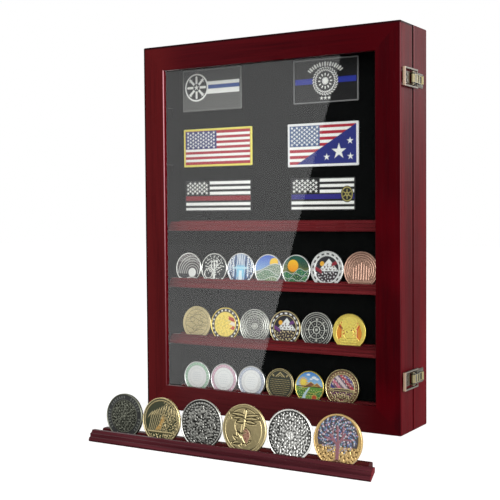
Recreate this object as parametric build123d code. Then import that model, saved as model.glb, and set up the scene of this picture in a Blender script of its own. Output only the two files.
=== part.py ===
from build123d import *
import math
import os

# Coin display case: a shallow mitred wooden box, sawn into a glazed door and a
# felt-backed body, with grooved coin shelves, and one shelf standing in front.
# Millimetres. X to the right, Y into the case, Z up.
# The origin is the middle of the case's base, on the surface it stands on.

# The case as a whole
case_width = 330.0
case_height = 432.0
door_depth = 33.0
seam_gap = 1.0
body_depth = 38.0
board_thickness = 9.0
corner_round = 1.5
edge_round = 0.8

# The door's frame and glass
frame_face = 29.0
lip_thickness = 5.0
lip_round = 0.8
glass_thickness = 2.2
glass_clearance = 1.0
bead_size = 8.0

# The back of the body
rear_recess = 2.6
rabbet_width = 4.5
panel_thickness = 3.0
panel_clearance = 0.3
felt_board_thickness = 6.0
felt_board_clearance = 0.4
lining_thickness = 0.5
brad_radius = 0.6
brad_head_radius = 1.4
brad_head_height = 0.5
brad_length = 9.0

# The grooved shelves: a moulded nosing, a groove for the coins and a taller ledge
shelf_setback = 4.0
nosing_depth = 9.5
nosing_height = 11.2
bead_height = 4.7
bead_step = 2.4
nosing_round = 3.0
coin_groove_width = 3.9
groove_floor = 5.0
ledge_depth = 8.6
ledge_height = 12.4
ledge_end_inset = 5.0
ear_chamfer_depth = 9.0
ear_chamfer_height = 7.0
side_groove_depth = 3.0
shelf_clearance = 0.3
first_shelf_level = 74.0
shelf_pitch = 69.5
fitted_shelves = 4
shelf_levels = 6

# The shelf that stands in front of the case
loose_shelf_x = 51.5
loose_shelf_distance = 176.7

# Coins: diameters of each row from left to right, and where each row starts
coin_thickness = 3.0
coin_rim = 1.8
coin_recess = 0.5
coin_lean = 5.5
coin_play = 0.1
coin_seat = 0.05
upper_coins = [37.0, 37.0, 38.0, 37.0, 37.0, 42.0, 42.0]
middle_coins = [41.0, 41.0, 41.0, 41.0, 41.0, 41.0]
lower_coins = [37.5, 37.5, 37.5, 37.5, 37.5, 42.5]
loose_coins = [45.5, 45.5, 48.0, 48.0, 48.0, 48.5]
upper_coin_margin = 0.7
upper_coin_gap = 0.4
middle_coin_margin = 10.0
middle_coin_gap = 0.4
lower_coin_margin = 11.4
lower_coin_gap = 1.6
loose_coin_margin = 14.3
loose_coin_gap = 1.2

# Cloth patches on the felt: name, middle across as a share of the half width inside,
# middle up as a share of the bay over the top shelf, width, height
patch_thickness = 1.4
patch_corner = 1.5
patches = [
    ("patch_upper_left", -0.6859, 0.8077, 85.5, 51.0),
    ("patch_upper_right", 0.3077, 0.8052, 83.0, 50.0),
    ("patch_middle_left", -0.6378, 0.4509, 99.0, 46.5),
    ("patch_middle_right", 0.2821, 0.4383, 91.0, 50.0),
    ("patch_lower_left", -0.6378, 0.1523, 96.0, 37.5),
    ("patch_lower_right", 0.2788, 0.1523, 83.0, 37.5),
]

# Butt hinges on the left side
hinge_inset = 82.0
hinge_length = 38.0
hinge_leaf_thickness = 1.0
hinge_leaf_gap = 0.5
hinge_leaf_reach = 8.0
hinge_standoff = 0.25
knuckle_radius = 2.4
hinge_pin_radius = 1.3
hinge_pin_clearance = 0.05
hinge_pin_head = 2.0
knuckle_gap = 0.3
mortise_clearance = 0.15
hinge_screw_radius = 1.1
hinge_screw_head_radius = 1.9
hinge_screw_length = 8.0
hinge_screw_spacing = 13.0
screw_clearance = 0.04

# Toggle latches on the right side
latch_inset = 57.5
latch_plate_thickness = 1.0
latch_base_start = 0.8
latch_base_length = 24.0
latch_base_half_height = 7.6
latch_wall_thickness = 1.1
latch_wall_inner = 5.3
lever_pivot_forward = 8.5
lever_pivot_height = 3.4
lever_pin_radius = 0.9
lever_pin_clearance = 0.06
lever_barrel_radius = 2.0
lever_half_height = 4.9
lever_length = 26.0
lever_front_length = 13.5
lever_top_height = 5.4
lever_rear_height = 3.8
lever_under_height = 1.9
lever_border = 1.3
lever_emboss = 0.5
lever_tab_height = 5.0
bail_pivot_back = 12.0
bail_pivot_height = 3.2
bail_wire_radius = 0.8
bail_wire_clearance = 0.07
bail_arm_inner = 8.3
bail_arm_width = 1.6
bail_arm_thickness = 2.0
bail_reach = 35.0
bail_bar_depth = 3.0
hook_gap = 0.8
hook_plate_length = 17.0
hook_half_height = 6.4
hook_height = 4.0
hook_thickness = 1.6
latch_screw_radius = 1.0
latch_screw_head_radius = 1.9
latch_screw_head_height = 0.7
latch_screw_length = 7.0

# Hangers on the back
hanger_inset_x = 55.0
hanger_inset_z = 32.0
hanger_length = 42.0
hanger_height = 12.0
hanger_thickness = 0.9
hanger_standoff = 1.1
hanger_teeth = 9
hanger_tooth_depth = 1.6
hanger_end_pad = 8.0
hanger_screw_radius = 1.0
hanger_screw_head_radius = 2.0
hanger_screw_head_height = 0.7
hanger_screw_length = 4.0

# Places that follow from the sizes
half_width = case_width / 2
total_depth = door_depth + seam_gap + body_depth
front_y = -total_depth / 2
door_back_y = front_y + door_depth
body_front_y = door_back_y + seam_gap
back_y = body_front_y + body_depth
seam_y = (door_back_y + body_front_y) / 2
inner_half = half_width - board_thickness
inner_top = case_height - board_thickness
panel_back_y = back_y - rear_recess
panel_front_y = panel_back_y - panel_thickness
felt_y = panel_front_y - felt_board_thickness
shelf_front_y = body_front_y + shelf_setback
shelf_depth = nosing_depth + coin_groove_width + ledge_depth
ear_half = inner_half + side_groove_depth - shelf_clearance
ledge_half = inner_half - ledge_end_inset
level_heights = [board_thickness]
level_heights += [first_shelf_level + shelf_pitch * step for step in range(shelf_levels - 1)]


def block(x_low, x_high, y_low, y_high, z_low, z_high):
    """A rectangular block between two corners."""
    middle = Pos((x_low + x_high) / 2, (y_low + y_high) / 2, (z_low + z_high) / 2)
    return middle * Box(x_high - x_low, y_high - y_low, z_high - z_low)


def rod(radius, start, direction, length):
    """A round bar from a start point along a direction."""
    plane = Plane(origin=start, z_dir=direction)
    return plane * Cylinder(radius, length, align=(Align.CENTER, Align.CENTER, Align.MIN))


def profile_along_x(outline, x_low, x_high):
    """A face drawn as (depth, height), pushed from one X to another."""
    plane = Plane(origin=(x_low, 0, 0), x_dir=(0, 1, 0), z_dir=(1, 0, 0))
    return extrude(plane * outline, x_high - x_low)


def profile_along_z(points, z_low, z_high):
    """A polygon of (x, y) points pushed from one height to another."""
    face = make_face(Polyline(*points, close=True))
    return Pos(0, 0, z_low) * extrude(face, z_high - z_low)


def save(name, *solids):
    """Write one node, as one solid or a group of separate solids."""
    shape = solids[0] if len(solids) == 1 else Compound(children=list(solids))
    shape.label = name
    export_step(shape, "parts/" + name + ".step")


# Mitred boxes
def rounded_box(y_low, y_high, front_round, rear_round):
    """The outer envelope of the door or the body, with its edges rounded."""
    box = block(-half_width, half_width, y_low, y_high, 0, case_height)
    box = fillet(box.edges().filter_by(Axis.Y), corner_round)
    box = fillet(box.faces().sort_by(Axis.Y)[0].edges(), front_round)
    return fillet(box.faces().sort_by(Axis.Y)[-1].edges(), rear_round)


def mitre_wedge(side, y_low, y_high):
    """The region that one board of a mitred box keeps, seen from the front."""
    reach = frame_face * 2
    low_x, high_x, low_z, high_z = -half_width, half_width, 0, case_height
    corners = {
        "left": [(low_x, low_z, -1, -1), (low_x, high_z, -1, 1)],
        "right": [(high_x, high_z, 1, 1), (high_x, low_z, 1, -1)],
        "top": [(low_x, high_z, -1, 1), (high_x, high_z, 1, 1)],
        "bottom": [(high_x, low_z, 1, -1), (low_x, low_z, -1, -1)],
    }[side]
    outside = [(x + a, z + b) for x, z, a, b in corners]
    inside = [(x - a * reach, z - b * reach) for x, z, a, b in reversed(corners)]
    face = make_face(Polyline(*(outside + inside), close=True))
    plane = Plane(origin=(0, y_low - 1, 0), x_dir=(1, 0, 0), z_dir=(0, -1, 0))
    return extrude(plane * face, -(y_high - y_low + 2))


def mitred_boards(shell, y_low, y_high):
    """Split a hollow box into its four boards."""
    boards = {}
    for side in ("left", "right", "top", "bottom"):
        boards[side] = shell & mitre_wedge(side, y_low, y_high)
    return boards


# Hinges
def hinge_heights():
    """The middle heights of the two hinges."""
    return [hinge_inset, case_height - hinge_inset]


hinge_x = -half_width - knuckle_radius - hinge_standoff
knuckle_length = hinge_length / 3
door_leaf_front = seam_y - hinge_leaf_gap / 2 - hinge_leaf_thickness
case_leaf_back = seam_y + hinge_leaf_gap / 2 + hinge_leaf_thickness
leaf_edge_x = -half_width + hinge_leaf_reach


def hinge_mortise(height, y_low, y_high):
    """The shallow housing that a leaf lies in."""
    half = hinge_length / 2 + mortise_clearance
    return block(-half_width - 1, leaf_edge_x + mortise_clearance, y_low, y_high, height - half, height + half)


def hinge_screw_places(height):
    """The heights of the three screws of one leaf."""
    return [height + step * hinge_screw_spacing for step in (-1, 0, 1)]


def hinge_screw(height, leaf_face, inward, extra=0.0):
    """A countersunk screw, its head flush with the leaf's free face."""
    x = -half_width + hinge_leaf_reach / 2
    direction = (0, inward, 0)
    plane = Plane(origin=(x, leaf_face, height), z_dir=direction)
    depth = hinge_screw_head_radius - hinge_screw_radius
    head = plane * Cone(hinge_screw_head_radius + extra, hinge_screw_radius + extra, depth,
                        align=(Align.CENTER, Align.CENTER, Align.MIN))
    return head + rod(hinge_screw_radius + extra, (x, leaf_face, height), direction, hinge_screw_length)


def hinge_leaf(height, y_low, y_high, knuckles, screw_face, inward):
    """A leaf with its knuckles bored for the pin and its three screw holes."""
    low = height - hinge_length / 2
    leaf = block(hinge_x, leaf_edge_x, y_low, y_high, low, low + hinge_length)
    swing = knuckle_radius + knuckle_gap
    for index in range(3):
        base = low + index * knuckle_length
        if index in knuckles:
            start = base + (knuckle_gap / 2 if index > 0 else 0)
            length = knuckle_length - knuckle_gap / 2 * (2 if index == 1 else 1)
            leaf += rod(knuckle_radius, (hinge_x, seam_y, start), (0, 0, 1), length)
        else:
            start = base - (knuckle_gap / 2 if index > 0 else 1)
            length = knuckle_length + knuckle_gap / 2 * (2 if index == 1 else 1) + (0 if index == 1 else 1)
            leaf -= rod(swing, (hinge_x, seam_y, start), (0, 0, 1), length)
    leaf -= rod(hinge_pin_radius + hinge_pin_clearance, (hinge_x, seam_y, low - 1), (0, 0, 1), hinge_length + 2)
    for place in hinge_screw_places(height):
        leaf -= hinge_screw(place, screw_face, inward, screw_clearance)
    return leaf


def hinge_pin(height):
    """The hinge pin, with a button head on each end."""
    low = height - hinge_length / 2
    head_height = 1.0
    pin = rod(hinge_pin_radius, (hinge_x, seam_y, low - head_height), (0, 0, 1), hinge_length + 2 * head_height)
    pin += rod(hinge_pin_head, (hinge_x, seam_y, low - head_height - 0.1), (0, 0, 1), head_height)
    return pin + rod(hinge_pin_head, (hinge_x, seam_y, low + hinge_length + 0.1), (0, 0, 1), head_height)


# Latches. Each is built from places on the right side's face.
side_x = half_width
base_front_y = body_front_y + latch_base_start
base_back_y = base_front_y + latch_base_length
lever_pivot = (side_x + lever_pivot_height, seam_y - lever_pivot_forward)
bail_pivot = (side_x + bail_pivot_height, lever_pivot[1] + bail_pivot_back)
bar_front_y = bail_pivot[1] - bail_reach - bail_bar_depth / 2
bar_back_y = bar_front_y + bail_bar_depth
hook_front_y = bar_back_y + hook_gap
hook_screw_y = hook_front_y + hook_plate_length * 0.62
base_screw_ys = [base_front_y + latch_base_length * 0.3, base_front_y + latch_base_length * 0.78]


def latch_heights():
    """The middle heights of the two latches, upper first."""
    return [case_height - latch_inset, latch_inset]


def latch_screw(y, height, extra=0.0):
    """A pan-head screw through a latch plate into the board."""
    seat = side_x + latch_plate_thickness
    shank = rod(latch_screw_radius + extra, (seat, y, height), (-1, 0, 0), latch_screw_length)
    if extra:
        return shank
    return shank + rod(latch_screw_head_radius, (seat, y, height), (1, 0, 0), latch_screw_head_height)


def hook_screw_heights(height):
    """The two screws of a hook plate, one above the other."""
    return [height - hook_half_height / 2, height + hook_half_height / 2]


def latch_base(height):
    """The base plate with its two walls, which carry the lever's pin."""
    top = side_x + latch_plate_thickness
    base = block(side_x, top, base_front_y, base_back_y,
                 height - latch_base_half_height, height + latch_base_half_height)
    ear_top = side_x + lever_pivot_height + lever_barrel_radius
    low_top = side_x + bail_pivot_height - bail_wire_radius - 0.5
    ear_front = lever_pivot[1] - lever_barrel_radius
    outline = [
        (top - latch_plate_thickness + 0.3, ear_front + 0.6),
        (ear_top - 1.2, ear_front),
        (ear_top, ear_front + 1.2),
        (ear_top, lever_pivot[1] + 1.4),
        (low_top, bail_pivot[1] - 3.0),
        (low_top, base_back_y - 1.5),
        (side_x + 0.3, base_back_y - 0.2),
    ]
    for sign in (-1, 1):
        inner = height + sign * latch_wall_inner
        outer = height + sign * (latch_wall_inner + latch_wall_thickness)
        base += profile_along_z(outline, min(inner, outer), max(inner, outer))
    span = latch_wall_inner + latch_wall_thickness + 1
    base -= rod(lever_pin_radius + lever_pin_clearance / 3, (*lever_pivot, height - span), (0, 0, 1), 2 * span)
    for y in base_screw_ys:
        base -= latch_screw(y, height, screw_clearance)
    return base


def latch_pin(height):
    """The lever's pin, riveted over at both ends."""
    half = latch_wall_inner + latch_wall_thickness
    pin = rod(lever_pin_radius, (*lever_pivot, height - half - 0.3), (0, 0, 1), 2 * half + 0.6)
    for sign in (-1, 1):
        start = height + sign * (half + 0.05)
        pin += rod(lever_pin_radius + 0.5, (*lever_pivot, start), (0, 0, sign), 0.45)
    return pin


def latch_lever(height):
    """The stepped lever with two embossed panels and a finger tab."""
    front = lever_pivot[1]
    step = front + lever_front_length
    end = front + lever_length
    under = side_x + lever_under_height
    top = side_x + lever_top_height
    rear_top = side_x + lever_rear_height
    tab = side_x + lever_tab_height
    outline = [
        (under, front),
        (top, front),
        (top, step - 0.8),
        (rear_top, step + 0.8),
        (rear_top, end - 2.6),
        (tab, end - 1.0),
        (tab, end),
        (tab - 1.0, end),
        (rear_top - 1.2, end - 2.0),
        (under, end - 3.2),
    ]
    low = height - lever_half_height
    high = height + lever_half_height
    lever = profile_along_z(outline, low, high)
    lever += rod(lever_barrel_radius, (*lever_pivot, low), (0, 0, 1), 2 * lever_half_height)
    # The front of the block is cut back to the barrel so that it can swing
    lever -= block(side_x, side_x + lever_pivot_height, front - 5, front + 0.01, low - 1, high + 1)
    lever += rod(lever_barrel_radius, (*lever_pivot, low), (0, 0, 1), 2 * lever_half_height)
    # Each panel is sunk inside a raised border
    inner_low = low + lever_border
    inner_high = high - lever_border
    lever -= block(top - lever_emboss, top + 1, front + 0.6 + lever_border, step - 0.8 - lever_border,
                   inner_low, inner_high)
    lever -= block(rear_top - lever_emboss, rear_top + 1, step + 0.8 + lever_border,
                   end - 2.6 - lever_border, inner_low, inner_high)
    lever -= rod(lever_pin_radius + lever_pin_clearance, (*lever_pivot, low - 1), (0, 0, 1), high - low + 2)
    stub = lever_half_height / 2
    for sign in (-1, 1):
        start = height + sign * (lever_half_height - stub)
        lever -= rod(bail_wire_radius + bail_wire_clearance, (*bail_pivot, start), (0, 0, sign), stub + 1)
    return lever


def latch_bail(height):
    """The rectangular bail, whose two ends are pins in the lever's sides."""
    outer = bail_arm_inner + bail_arm_width
    centre = side_x + bail_pivot_height
    x_low = centre - bail_arm_thickness / 2
    x_high = centre + bail_arm_thickness / 2
    bar = block(x_low, x_high, bar_front_y, bar_back_y, height - outer, height + outer)
    bail = fillet(bar.edges().filter_by(Axis.X), 1.0)
    for sign in (-1, 1):
        inner_z = height + sign * bail_arm_inner
        outer_z = height + sign * outer
        low, high = min(inner_z, outer_z), max(inner_z, outer_z)
        bail += block(x_low, x_high, bar_back_y - 1.2, bail_pivot[1], low, high)
        bail += rod(bail_arm_thickness / 2, (*bail_pivot, low), (0, 0, 1), bail_arm_width)
        stub_end = height + sign * (lever_half_height / 2 + 0.3)
        length = bail_arm_inner - lever_half_height / 2 - 0.3
        bail += rod(bail_wire_radius, (*bail_pivot, stub_end), (0, 0, sign), length)
    return bail


def latch_hook(height):
    """The hook plate on the door, its front edge turned up and curled."""
    top = side_x + latch_plate_thickness
    low = height - hook_half_height
    high = height + hook_half_height
    back = hook_front_y + hook_plate_length
    hook = block(side_x, top, hook_front_y + 1.0, back, low, high)
    outline = [
        (side_x, hook_front_y + 1.0),
        (side_x, hook_front_y + 1.0 + hook_thickness),
        (side_x + hook_height - 1.2, hook_front_y + 1.0 + hook_thickness),
        (side_x + hook_height, hook_front_y + hook_thickness * 0.8),
        (side_x + hook_height, hook_front_y),
        (side_x + hook_height - 1.0, hook_front_y),
        (side_x + hook_height - 1.8, hook_front_y + 1.0),
    ]
    hook += profile_along_z(outline, low + 0.8, high - 0.8)
    for place in hook_screw_heights(height):
        hook -= latch_screw(hook_screw_y, place, screw_clearance)
    return hook


# Door
def door_shell():
    """The whole door before it is split: a tray with a window in its face."""
    shell = rounded_box(front_y, door_back_y, corner_round, edge_round)
    shell -= block(-inner_half, inner_half, front_y + lip_thickness, door_back_y + 1, board_thickness, inner_top)
    window = block(-half_width + frame_face, half_width - frame_face, front_y - 1, front_y + lip_thickness + 1,
                   frame_face, case_height - frame_face)
    shell -= window
    lip_edges = shell.faces().sort_by(Axis.Y)[0].inner_wires().edges()
    return fillet(lip_edges, lip_round)


def glass_pane():
    """The pane, lying against the inner face of the frame's lip."""
    reach = inner_half - glass_clearance
    y_low = front_y + lip_thickness
    return block(-reach, reach, y_low, y_low + glass_thickness,
                 board_thickness + glass_clearance, inner_top - glass_clearance)


def glass_beads():
    """Four strips that hold the pane in, the upright ones full height."""
    y_low = front_y + lip_thickness + glass_thickness
    y_high = y_low + bead_size
    inner = inner_half - bead_size
    beads = []
    for sign in (-1, 1):
        x_low, x_high = sorted((sign * inner, sign * inner_half))
        upright = block(x_low, x_high, y_low, y_high, board_thickness, inner_top)
        edge = upright.edges().filter_by(Axis.Z).sort_by(lambda e: sign * e.center().X - e.center().Y)[0]
        beads.append(chamfer(edge, bead_size * 0.4))
    for low in (board_thickness, inner_top - bead_size):
        flat = block(-inner, inner, y_low, y_high, low, low + bead_size)
        toward = 1 if low == board_thickness else -1
        edge = flat.edges().filter_by(Axis.X).sort_by(lambda e: -toward * e.center().Z - e.center().Y)[0]
        beads.append(chamfer(edge, bead_size * 0.4))
    return beads


# Body
def body_shell():
    """The whole body before it is split: an open frame, rebated at the back."""
    shell = rounded_box(body_front_y, back_y, edge_round, edge_round)
    shell -= block(-inner_half, inner_half, body_front_y - 1, back_y + 1, board_thickness, inner_top)
    reach = inner_half + rabbet_width
    shell -= block(-reach, reach, panel_front_y, back_y + 1,
                   board_thickness - rabbet_width, inner_top + rabbet_width)
    # Stopped grooves that take the ears of the shelves
    ear_reach = inner_half + side_groove_depth
    groove_back = shelf_front_y + nosing_depth + shelf_clearance
    for level in level_heights:
        low = level - (0 if level == board_thickness else shelf_clearance)
        shell -= block(-ear_reach, ear_reach, body_front_y - 1, groove_back,
                       low, level + nosing_height + shelf_clearance)
    return shell


def back_panel():
    """The thin panel in the rear rebate."""
    reach = inner_half + rabbet_width - panel_clearance
    return block(-reach, reach, panel_front_y, panel_back_y,
                 board_thickness - rabbet_width + panel_clearance,
                 inner_top + rabbet_width - panel_clearance)


def felt_board():
    """The felt-covered board that lines the back inside."""
    reach = inner_half - felt_board_clearance
    return block(-reach, reach, felt_y, panel_front_y,
                 board_thickness + felt_board_clearance, inner_top - felt_board_clearance)


def felt_linings():
    """Felt strips on the side walls between the shelf grooves, and one on top."""
    y_low = body_front_y + edge_round
    y_high = felt_y
    strips = []
    tops = [level + nosing_height + shelf_clearance for level in level_heights]
    ends = [level - shelf_clearance for level in level_heights[1:]] + [inner_top - lining_thickness]
    for sign in (-1, 1):
        x_low, x_high = sorted((sign * (inner_half - lining_thickness), sign * inner_half))
        for low, high in zip(tops, ends):
            strips.append(block(x_low, x_high, y_low, y_high, low, high))
    strips.append(block(-inner_half, inner_half, y_low, y_high, inner_top - lining_thickness, inner_top))
    return strips


def back_panel_brads():
    """Brads through the panel's edge into the boards' rebate."""
    ledge = inner_half + rabbet_width / 2
    low_ledge = board_thickness - rabbet_width / 2
    high_ledge = inner_top + rabbet_width / 2
    places = [(side * ledge, case_height * share) for side in (-1, 1) for share in (0.2, 0.5, 0.8)]
    places += [(side * half_width * 0.5, height) for side in (-1, 1) for height in (low_ledge, high_ledge)]
    return places


def brad(x, z, extra=0.0):
    """One brad, driven forward from the back."""
    shank = rod(brad_radius + extra, (x, panel_back_y, z), (0, -1, 0), brad_length)
    if extra:
        return shank
    return shank + rod(brad_head_radius, (x, panel_back_y, z), (0, 1, 0), brad_head_height)


# Shelves
def nosing_outline():
    """The moulded section of a shelf, as depth and height."""
    round_start = (bead_step, nosing_height - nosing_round)
    round_end = (bead_step + nosing_round, nosing_height)
    corner_height = 1.0
    curve = [
        Line((corner_height, 0), (shelf_depth, 0)),
        Line((shelf_depth, 0), (shelf_depth, ledge_height - 1.0)),
        Line((shelf_depth, ledge_height - 1.0), (shelf_depth - 1.0, ledge_height)),
        Line((shelf_depth - 1.0, ledge_height), (nosing_depth + coin_groove_width + 1.0, ledge_height)),
        Line((nosing_depth + coin_groove_width + 1.0, ledge_height),
             (nosing_depth + coin_groove_width, ledge_height - 1.0)),
        Line((nosing_depth + coin_groove_width, ledge_height - 1.0),
             (nosing_depth + coin_groove_width, groove_floor)),
        Line((nosing_depth + coin_groove_width, groove_floor), (nosing_depth, groove_floor)),
        Line((nosing_depth, groove_floor), (nosing_depth, nosing_height)),
        Line((nosing_depth, nosing_height), round_end),
        RadiusArc(round_end, round_start, nosing_round),
        Line(round_start, (bead_step, bead_height)),
        ThreePointArc((bead_step, bead_height), (0.7, bead_height - 0.7), (0, bead_height - 2.4)),
        Line((0, bead_height - 2.4), (0, corner_height)),
        ThreePointArc((0, corner_height), (0.3, 0.3), (corner_height, 0)),
    ]
    return make_face(curve)


def shelf(middle_x, y_front, z_low):
    """One shelf: ears at the nosing's ends, and a shorter ledge behind."""
    bar = profile_along_x(nosing_outline(), -ear_half, ear_half)
    for sign in (-1, 1):
        x_low, x_high = sorted((sign * ledge_half, sign * (ear_half + 1)))
        bar -= block(x_low, x_high, nosing_depth, shelf_depth + 1, -1, ledge_height + 1)
        wedge = make_face(Polyline(
            (nosing_depth - ear_chamfer_depth, -0.01),
            (nosing_depth + 0.01, ear_chamfer_height),
            (nosing_depth + 0.01, -0.01),
            close=True))
        bar -= profile_along_x(wedge, x_low, x_high)
    return Pos(middle_x, y_front, z_low) * bar


# Coins
def coin(diameter):
    """A coin with a raised rim on both faces, facing the front."""
    radius = diameter / 2
    disc = Cylinder(radius, coin_thickness)
    disc = fillet(disc.edges(), 0.3)
    sunk = Cylinder(radius - coin_rim, coin_recess)
    for sign in (-1, 1):
        disc -= Pos(0, 0, sign * (coin_thickness - coin_recess) / 2) * sunk
    return Rot(X=90) * disc


def coin_row(diameters, start_x, gap, y_front, z_low):
    """Coins side by side in a shelf's groove, leaning back on the ledge."""
    lean = math.radians(coin_lean)
    row = []
    edge = start_x
    for diameter in diameters:
        radius = diameter / 2
        x = edge + radius
        y = y_front + nosing_depth + coin_play
        y += coin_thickness / 2 * math.cos(lean) + radius * math.sin(lean)
        z = z_low + groove_floor + coin_seat
        z += radius * math.cos(lean) + coin_thickness / 2 * math.sin(lean)
        row.append(Pos(x, y, z) * Rot(X=-coin_lean) * coin(diameter))
        edge += diameter + gap
    return row


# Hangers
def hanger(x, z):
    """A saw-tooth strip, its middle raised off the panel."""
    half = hanger_length / 2
    raised_half = half - hanger_end_pad
    low = panel_back_y
    strip = block(x - half, x + half, low, low + hanger_thickness, z - hanger_height / 2, z + hanger_height / 2)
    strip -= block(x - raised_half, x + raised_half, low - 1, low + 5, z - hanger_height, z + hanger_height)
    raised_low = low + hanger_standoff - hanger_thickness / 2
    middle = block(x - raised_half - 1, x + raised_half + 1, raised_low, raised_low + hanger_thickness,
                   z - hanger_height / 2, z + hanger_height / 2)
    pitch = 2 * raised_half / hanger_teeth
    for index in range(hanger_teeth):
        start = x - raised_half + index * pitch
        notch = Polyline((start, z - hanger_height / 2 - 0.1), (start + pitch / 2, z - hanger_height / 2 + hanger_tooth_depth),
                         (start + pitch, z - hanger_height / 2 - 0.1), close=True)
        plane = Plane(origin=(0, raised_low - 1, 0), x_dir=(1, 0, 0), z_dir=(0, -1, 0))
        middle -= extrude(plane * make_face(notch), -(hanger_thickness + 2))
    strip += middle
    for screw_x in hanger_screw_places(x):
        strip -= hanger_screw(screw_x, z, screw_clearance)
    return strip


def hanger_screw_places(x):
    """The two screws of a hanger."""
    reach = hanger_length / 2 - hanger_end_pad / 2
    return [x - reach, x + reach]


def hanger_screw(x, z, extra=0.0):
    """A short pan-head screw through a hanger's end pad."""
    seat = panel_back_y + hanger_thickness
    shank = rod(hanger_screw_radius + extra, (x, seat, z), (0, -1, 0), hanger_screw_length)
    if extra:
        return shank
    return shank + rod(hanger_screw_head_radius, (x, seat, z), (0, 1, 0), hanger_screw_head_height)


os.makedirs("parts", exist_ok=True)

# The door's four frame members
door_boards = mitred_boards(door_shell(), front_y, door_back_y)
for height in hinge_heights():
    door_boards["left"] -= hinge_mortise(height, door_leaf_front, door_back_y + 1)
    for place in hinge_screw_places(height):
        door_boards["left"] -= hinge_screw(place, door_leaf_front + hinge_leaf_thickness, -1, screw_clearance)
for height in latch_heights():
    for place in hook_screw_heights(height):
        door_boards["right"] -= latch_screw(hook_screw_y, place, screw_clearance)
save("door_left_stile", door_boards["left"])
save("door_right_stile", door_boards["right"])
save("door_top_rail", door_boards["top"])
save("door_bottom_rail", door_boards["bottom"])
save("door_glass", glass_pane())
save("glass_beads", *glass_beads())

# The body's four boards
body_boards = mitred_boards(body_shell(), body_front_y, back_y)
for height in hinge_heights():
    body_boards["left"] -= hinge_mortise(height, body_front_y - 1, case_leaf_back)
    for place in hinge_screw_places(height):
        body_boards["left"] -= hinge_screw(place, case_leaf_back - hinge_leaf_thickness, 1, screw_clearance)
for height in latch_heights():
    for y in base_screw_ys:
        body_boards["right"] -= latch_screw(y, height, screw_clearance)
panel = back_panel()
for x, z in back_panel_brads():
    panel -= brad(x, z, screw_clearance)
    for side in body_boards:
        body_boards[side] -= brad(x, z, screw_clearance)
hanger_xs = [-half_width + hanger_inset_x, half_width - hanger_inset_x]
hanger_z = case_height - hanger_inset_z
felt = felt_board()
for x in hanger_xs:
    for screw_x in hanger_screw_places(x):
        panel -= hanger_screw(screw_x, hanger_z, screw_clearance)
        felt -= hanger_screw(screw_x, hanger_z, screw_clearance)
save("case_left_side", body_boards["left"])
save("case_right_side", body_boards["right"])
save("case_top", body_boards["top"])
save("case_bottom", body_boards["bottom"])
save("back_panel", panel)
save("back_panel_brads", *[brad(x, z) for x, z in back_panel_brads()])
save("felt_board", felt)
save("felt_linings", *felt_linings())

# Shelves, fitted and standing in front
for number in range(fitted_shelves):
    save("shelf_" + str(number + 1), shelf(0, shelf_front_y, level_heights[number]))
loose_y = front_y - loose_shelf_distance
save("loose_shelf", shelf(loose_shelf_x, loose_y, 0))

# Coins
row_start = -inner_half
coin_rows = [
    ("coins_lower_row", lower_coins, lower_coin_margin, lower_coin_gap, level_heights[0]),
    ("coins_middle_row", middle_coins, middle_coin_margin, middle_coin_gap, level_heights[1]),
    ("coins_upper_row", upper_coins, upper_coin_margin, upper_coin_gap, level_heights[2]),
]
for name, diameters, margin, gap, level in coin_rows:
    save(name, *coin_row(diameters, row_start + margin, gap, shelf_front_y, level))
loose_row = coin_row(loose_coins, loose_shelf_x - ear_half + loose_coin_margin, loose_coin_gap, loose_y, 0)
for number, piece in enumerate(loose_row):
    save("loose_coin_" + str(number + 1), piece)

# Patches
patch_bay_low = level_heights[fitted_shelves - 1] + ledge_height
patch_bay_height = inner_top - patch_bay_low
for name, across, up, width, height in patches:
    x = across * inner_half
    z = patch_bay_low + up * patch_bay_height
    cloth = block(x - width / 2, x + width / 2, felt_y - patch_thickness, felt_y, z - height / 2, z + height / 2)
    save(name, fillet(cloth.edges().filter_by(Axis.Y), patch_corner))

# Hinges, upper and lower
for label, height in zip(("lower", "upper"), hinge_heights()):
    door_face = door_leaf_front + hinge_leaf_thickness
    case_face = case_leaf_back - hinge_leaf_thickness
    save(label + "_hinge_door_leaf", hinge_leaf(height, door_leaf_front, door_face, (1,), door_face, -1))
    save(label + "_hinge_case_leaf", hinge_leaf(height, case_face, case_leaf_back, (0, 2), case_face, 1))
    save(label + "_hinge_pin", hinge_pin(height))
door_screws = []
case_screws = []
for height in hinge_heights():
    for place in hinge_screw_places(height):
        door_screws.append(hinge_screw(place, door_leaf_front + hinge_leaf_thickness, -1))
        case_screws.append(hinge_screw(place, case_leaf_back - hinge_leaf_thickness, 1))
save("hinge_door_screws", *door_screws)
save("hinge_case_screws", *case_screws)

# Latches, upper and lower
hook_screws = []
base_screws = []
for label, height in zip(("upper", "lower"), latch_heights()):
    save(label + "_latch_base", latch_base(height))
    save(label + "_latch_pin", latch_pin(height))
    save(label + "_latch_lever", latch_lever(height))
    save(label + "_latch_bail", latch_bail(height))
    save(label + "_latch_hook", latch_hook(height))
    hook_screws += [latch_screw(hook_screw_y, place) for place in hook_screw_heights(height)]
    base_screws += [latch_screw(y, height) for y in base_screw_ys]
save("latch_hook_screws", *hook_screws)
save("latch_base_screws", *base_screws)

# Hangers
for label, x in zip(("left", "right"), hanger_xs):
    save(label + "_hanger", hanger(x, hanger_z))
save("hanger_screws", *[hanger_screw(screw_x, hanger_z) for x in hanger_xs for screw_x in hanger_screw_places(x)])
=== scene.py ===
import math

import bmesh
import bpy
import numpy as np
from mathutils import Matrix, Vector


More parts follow.
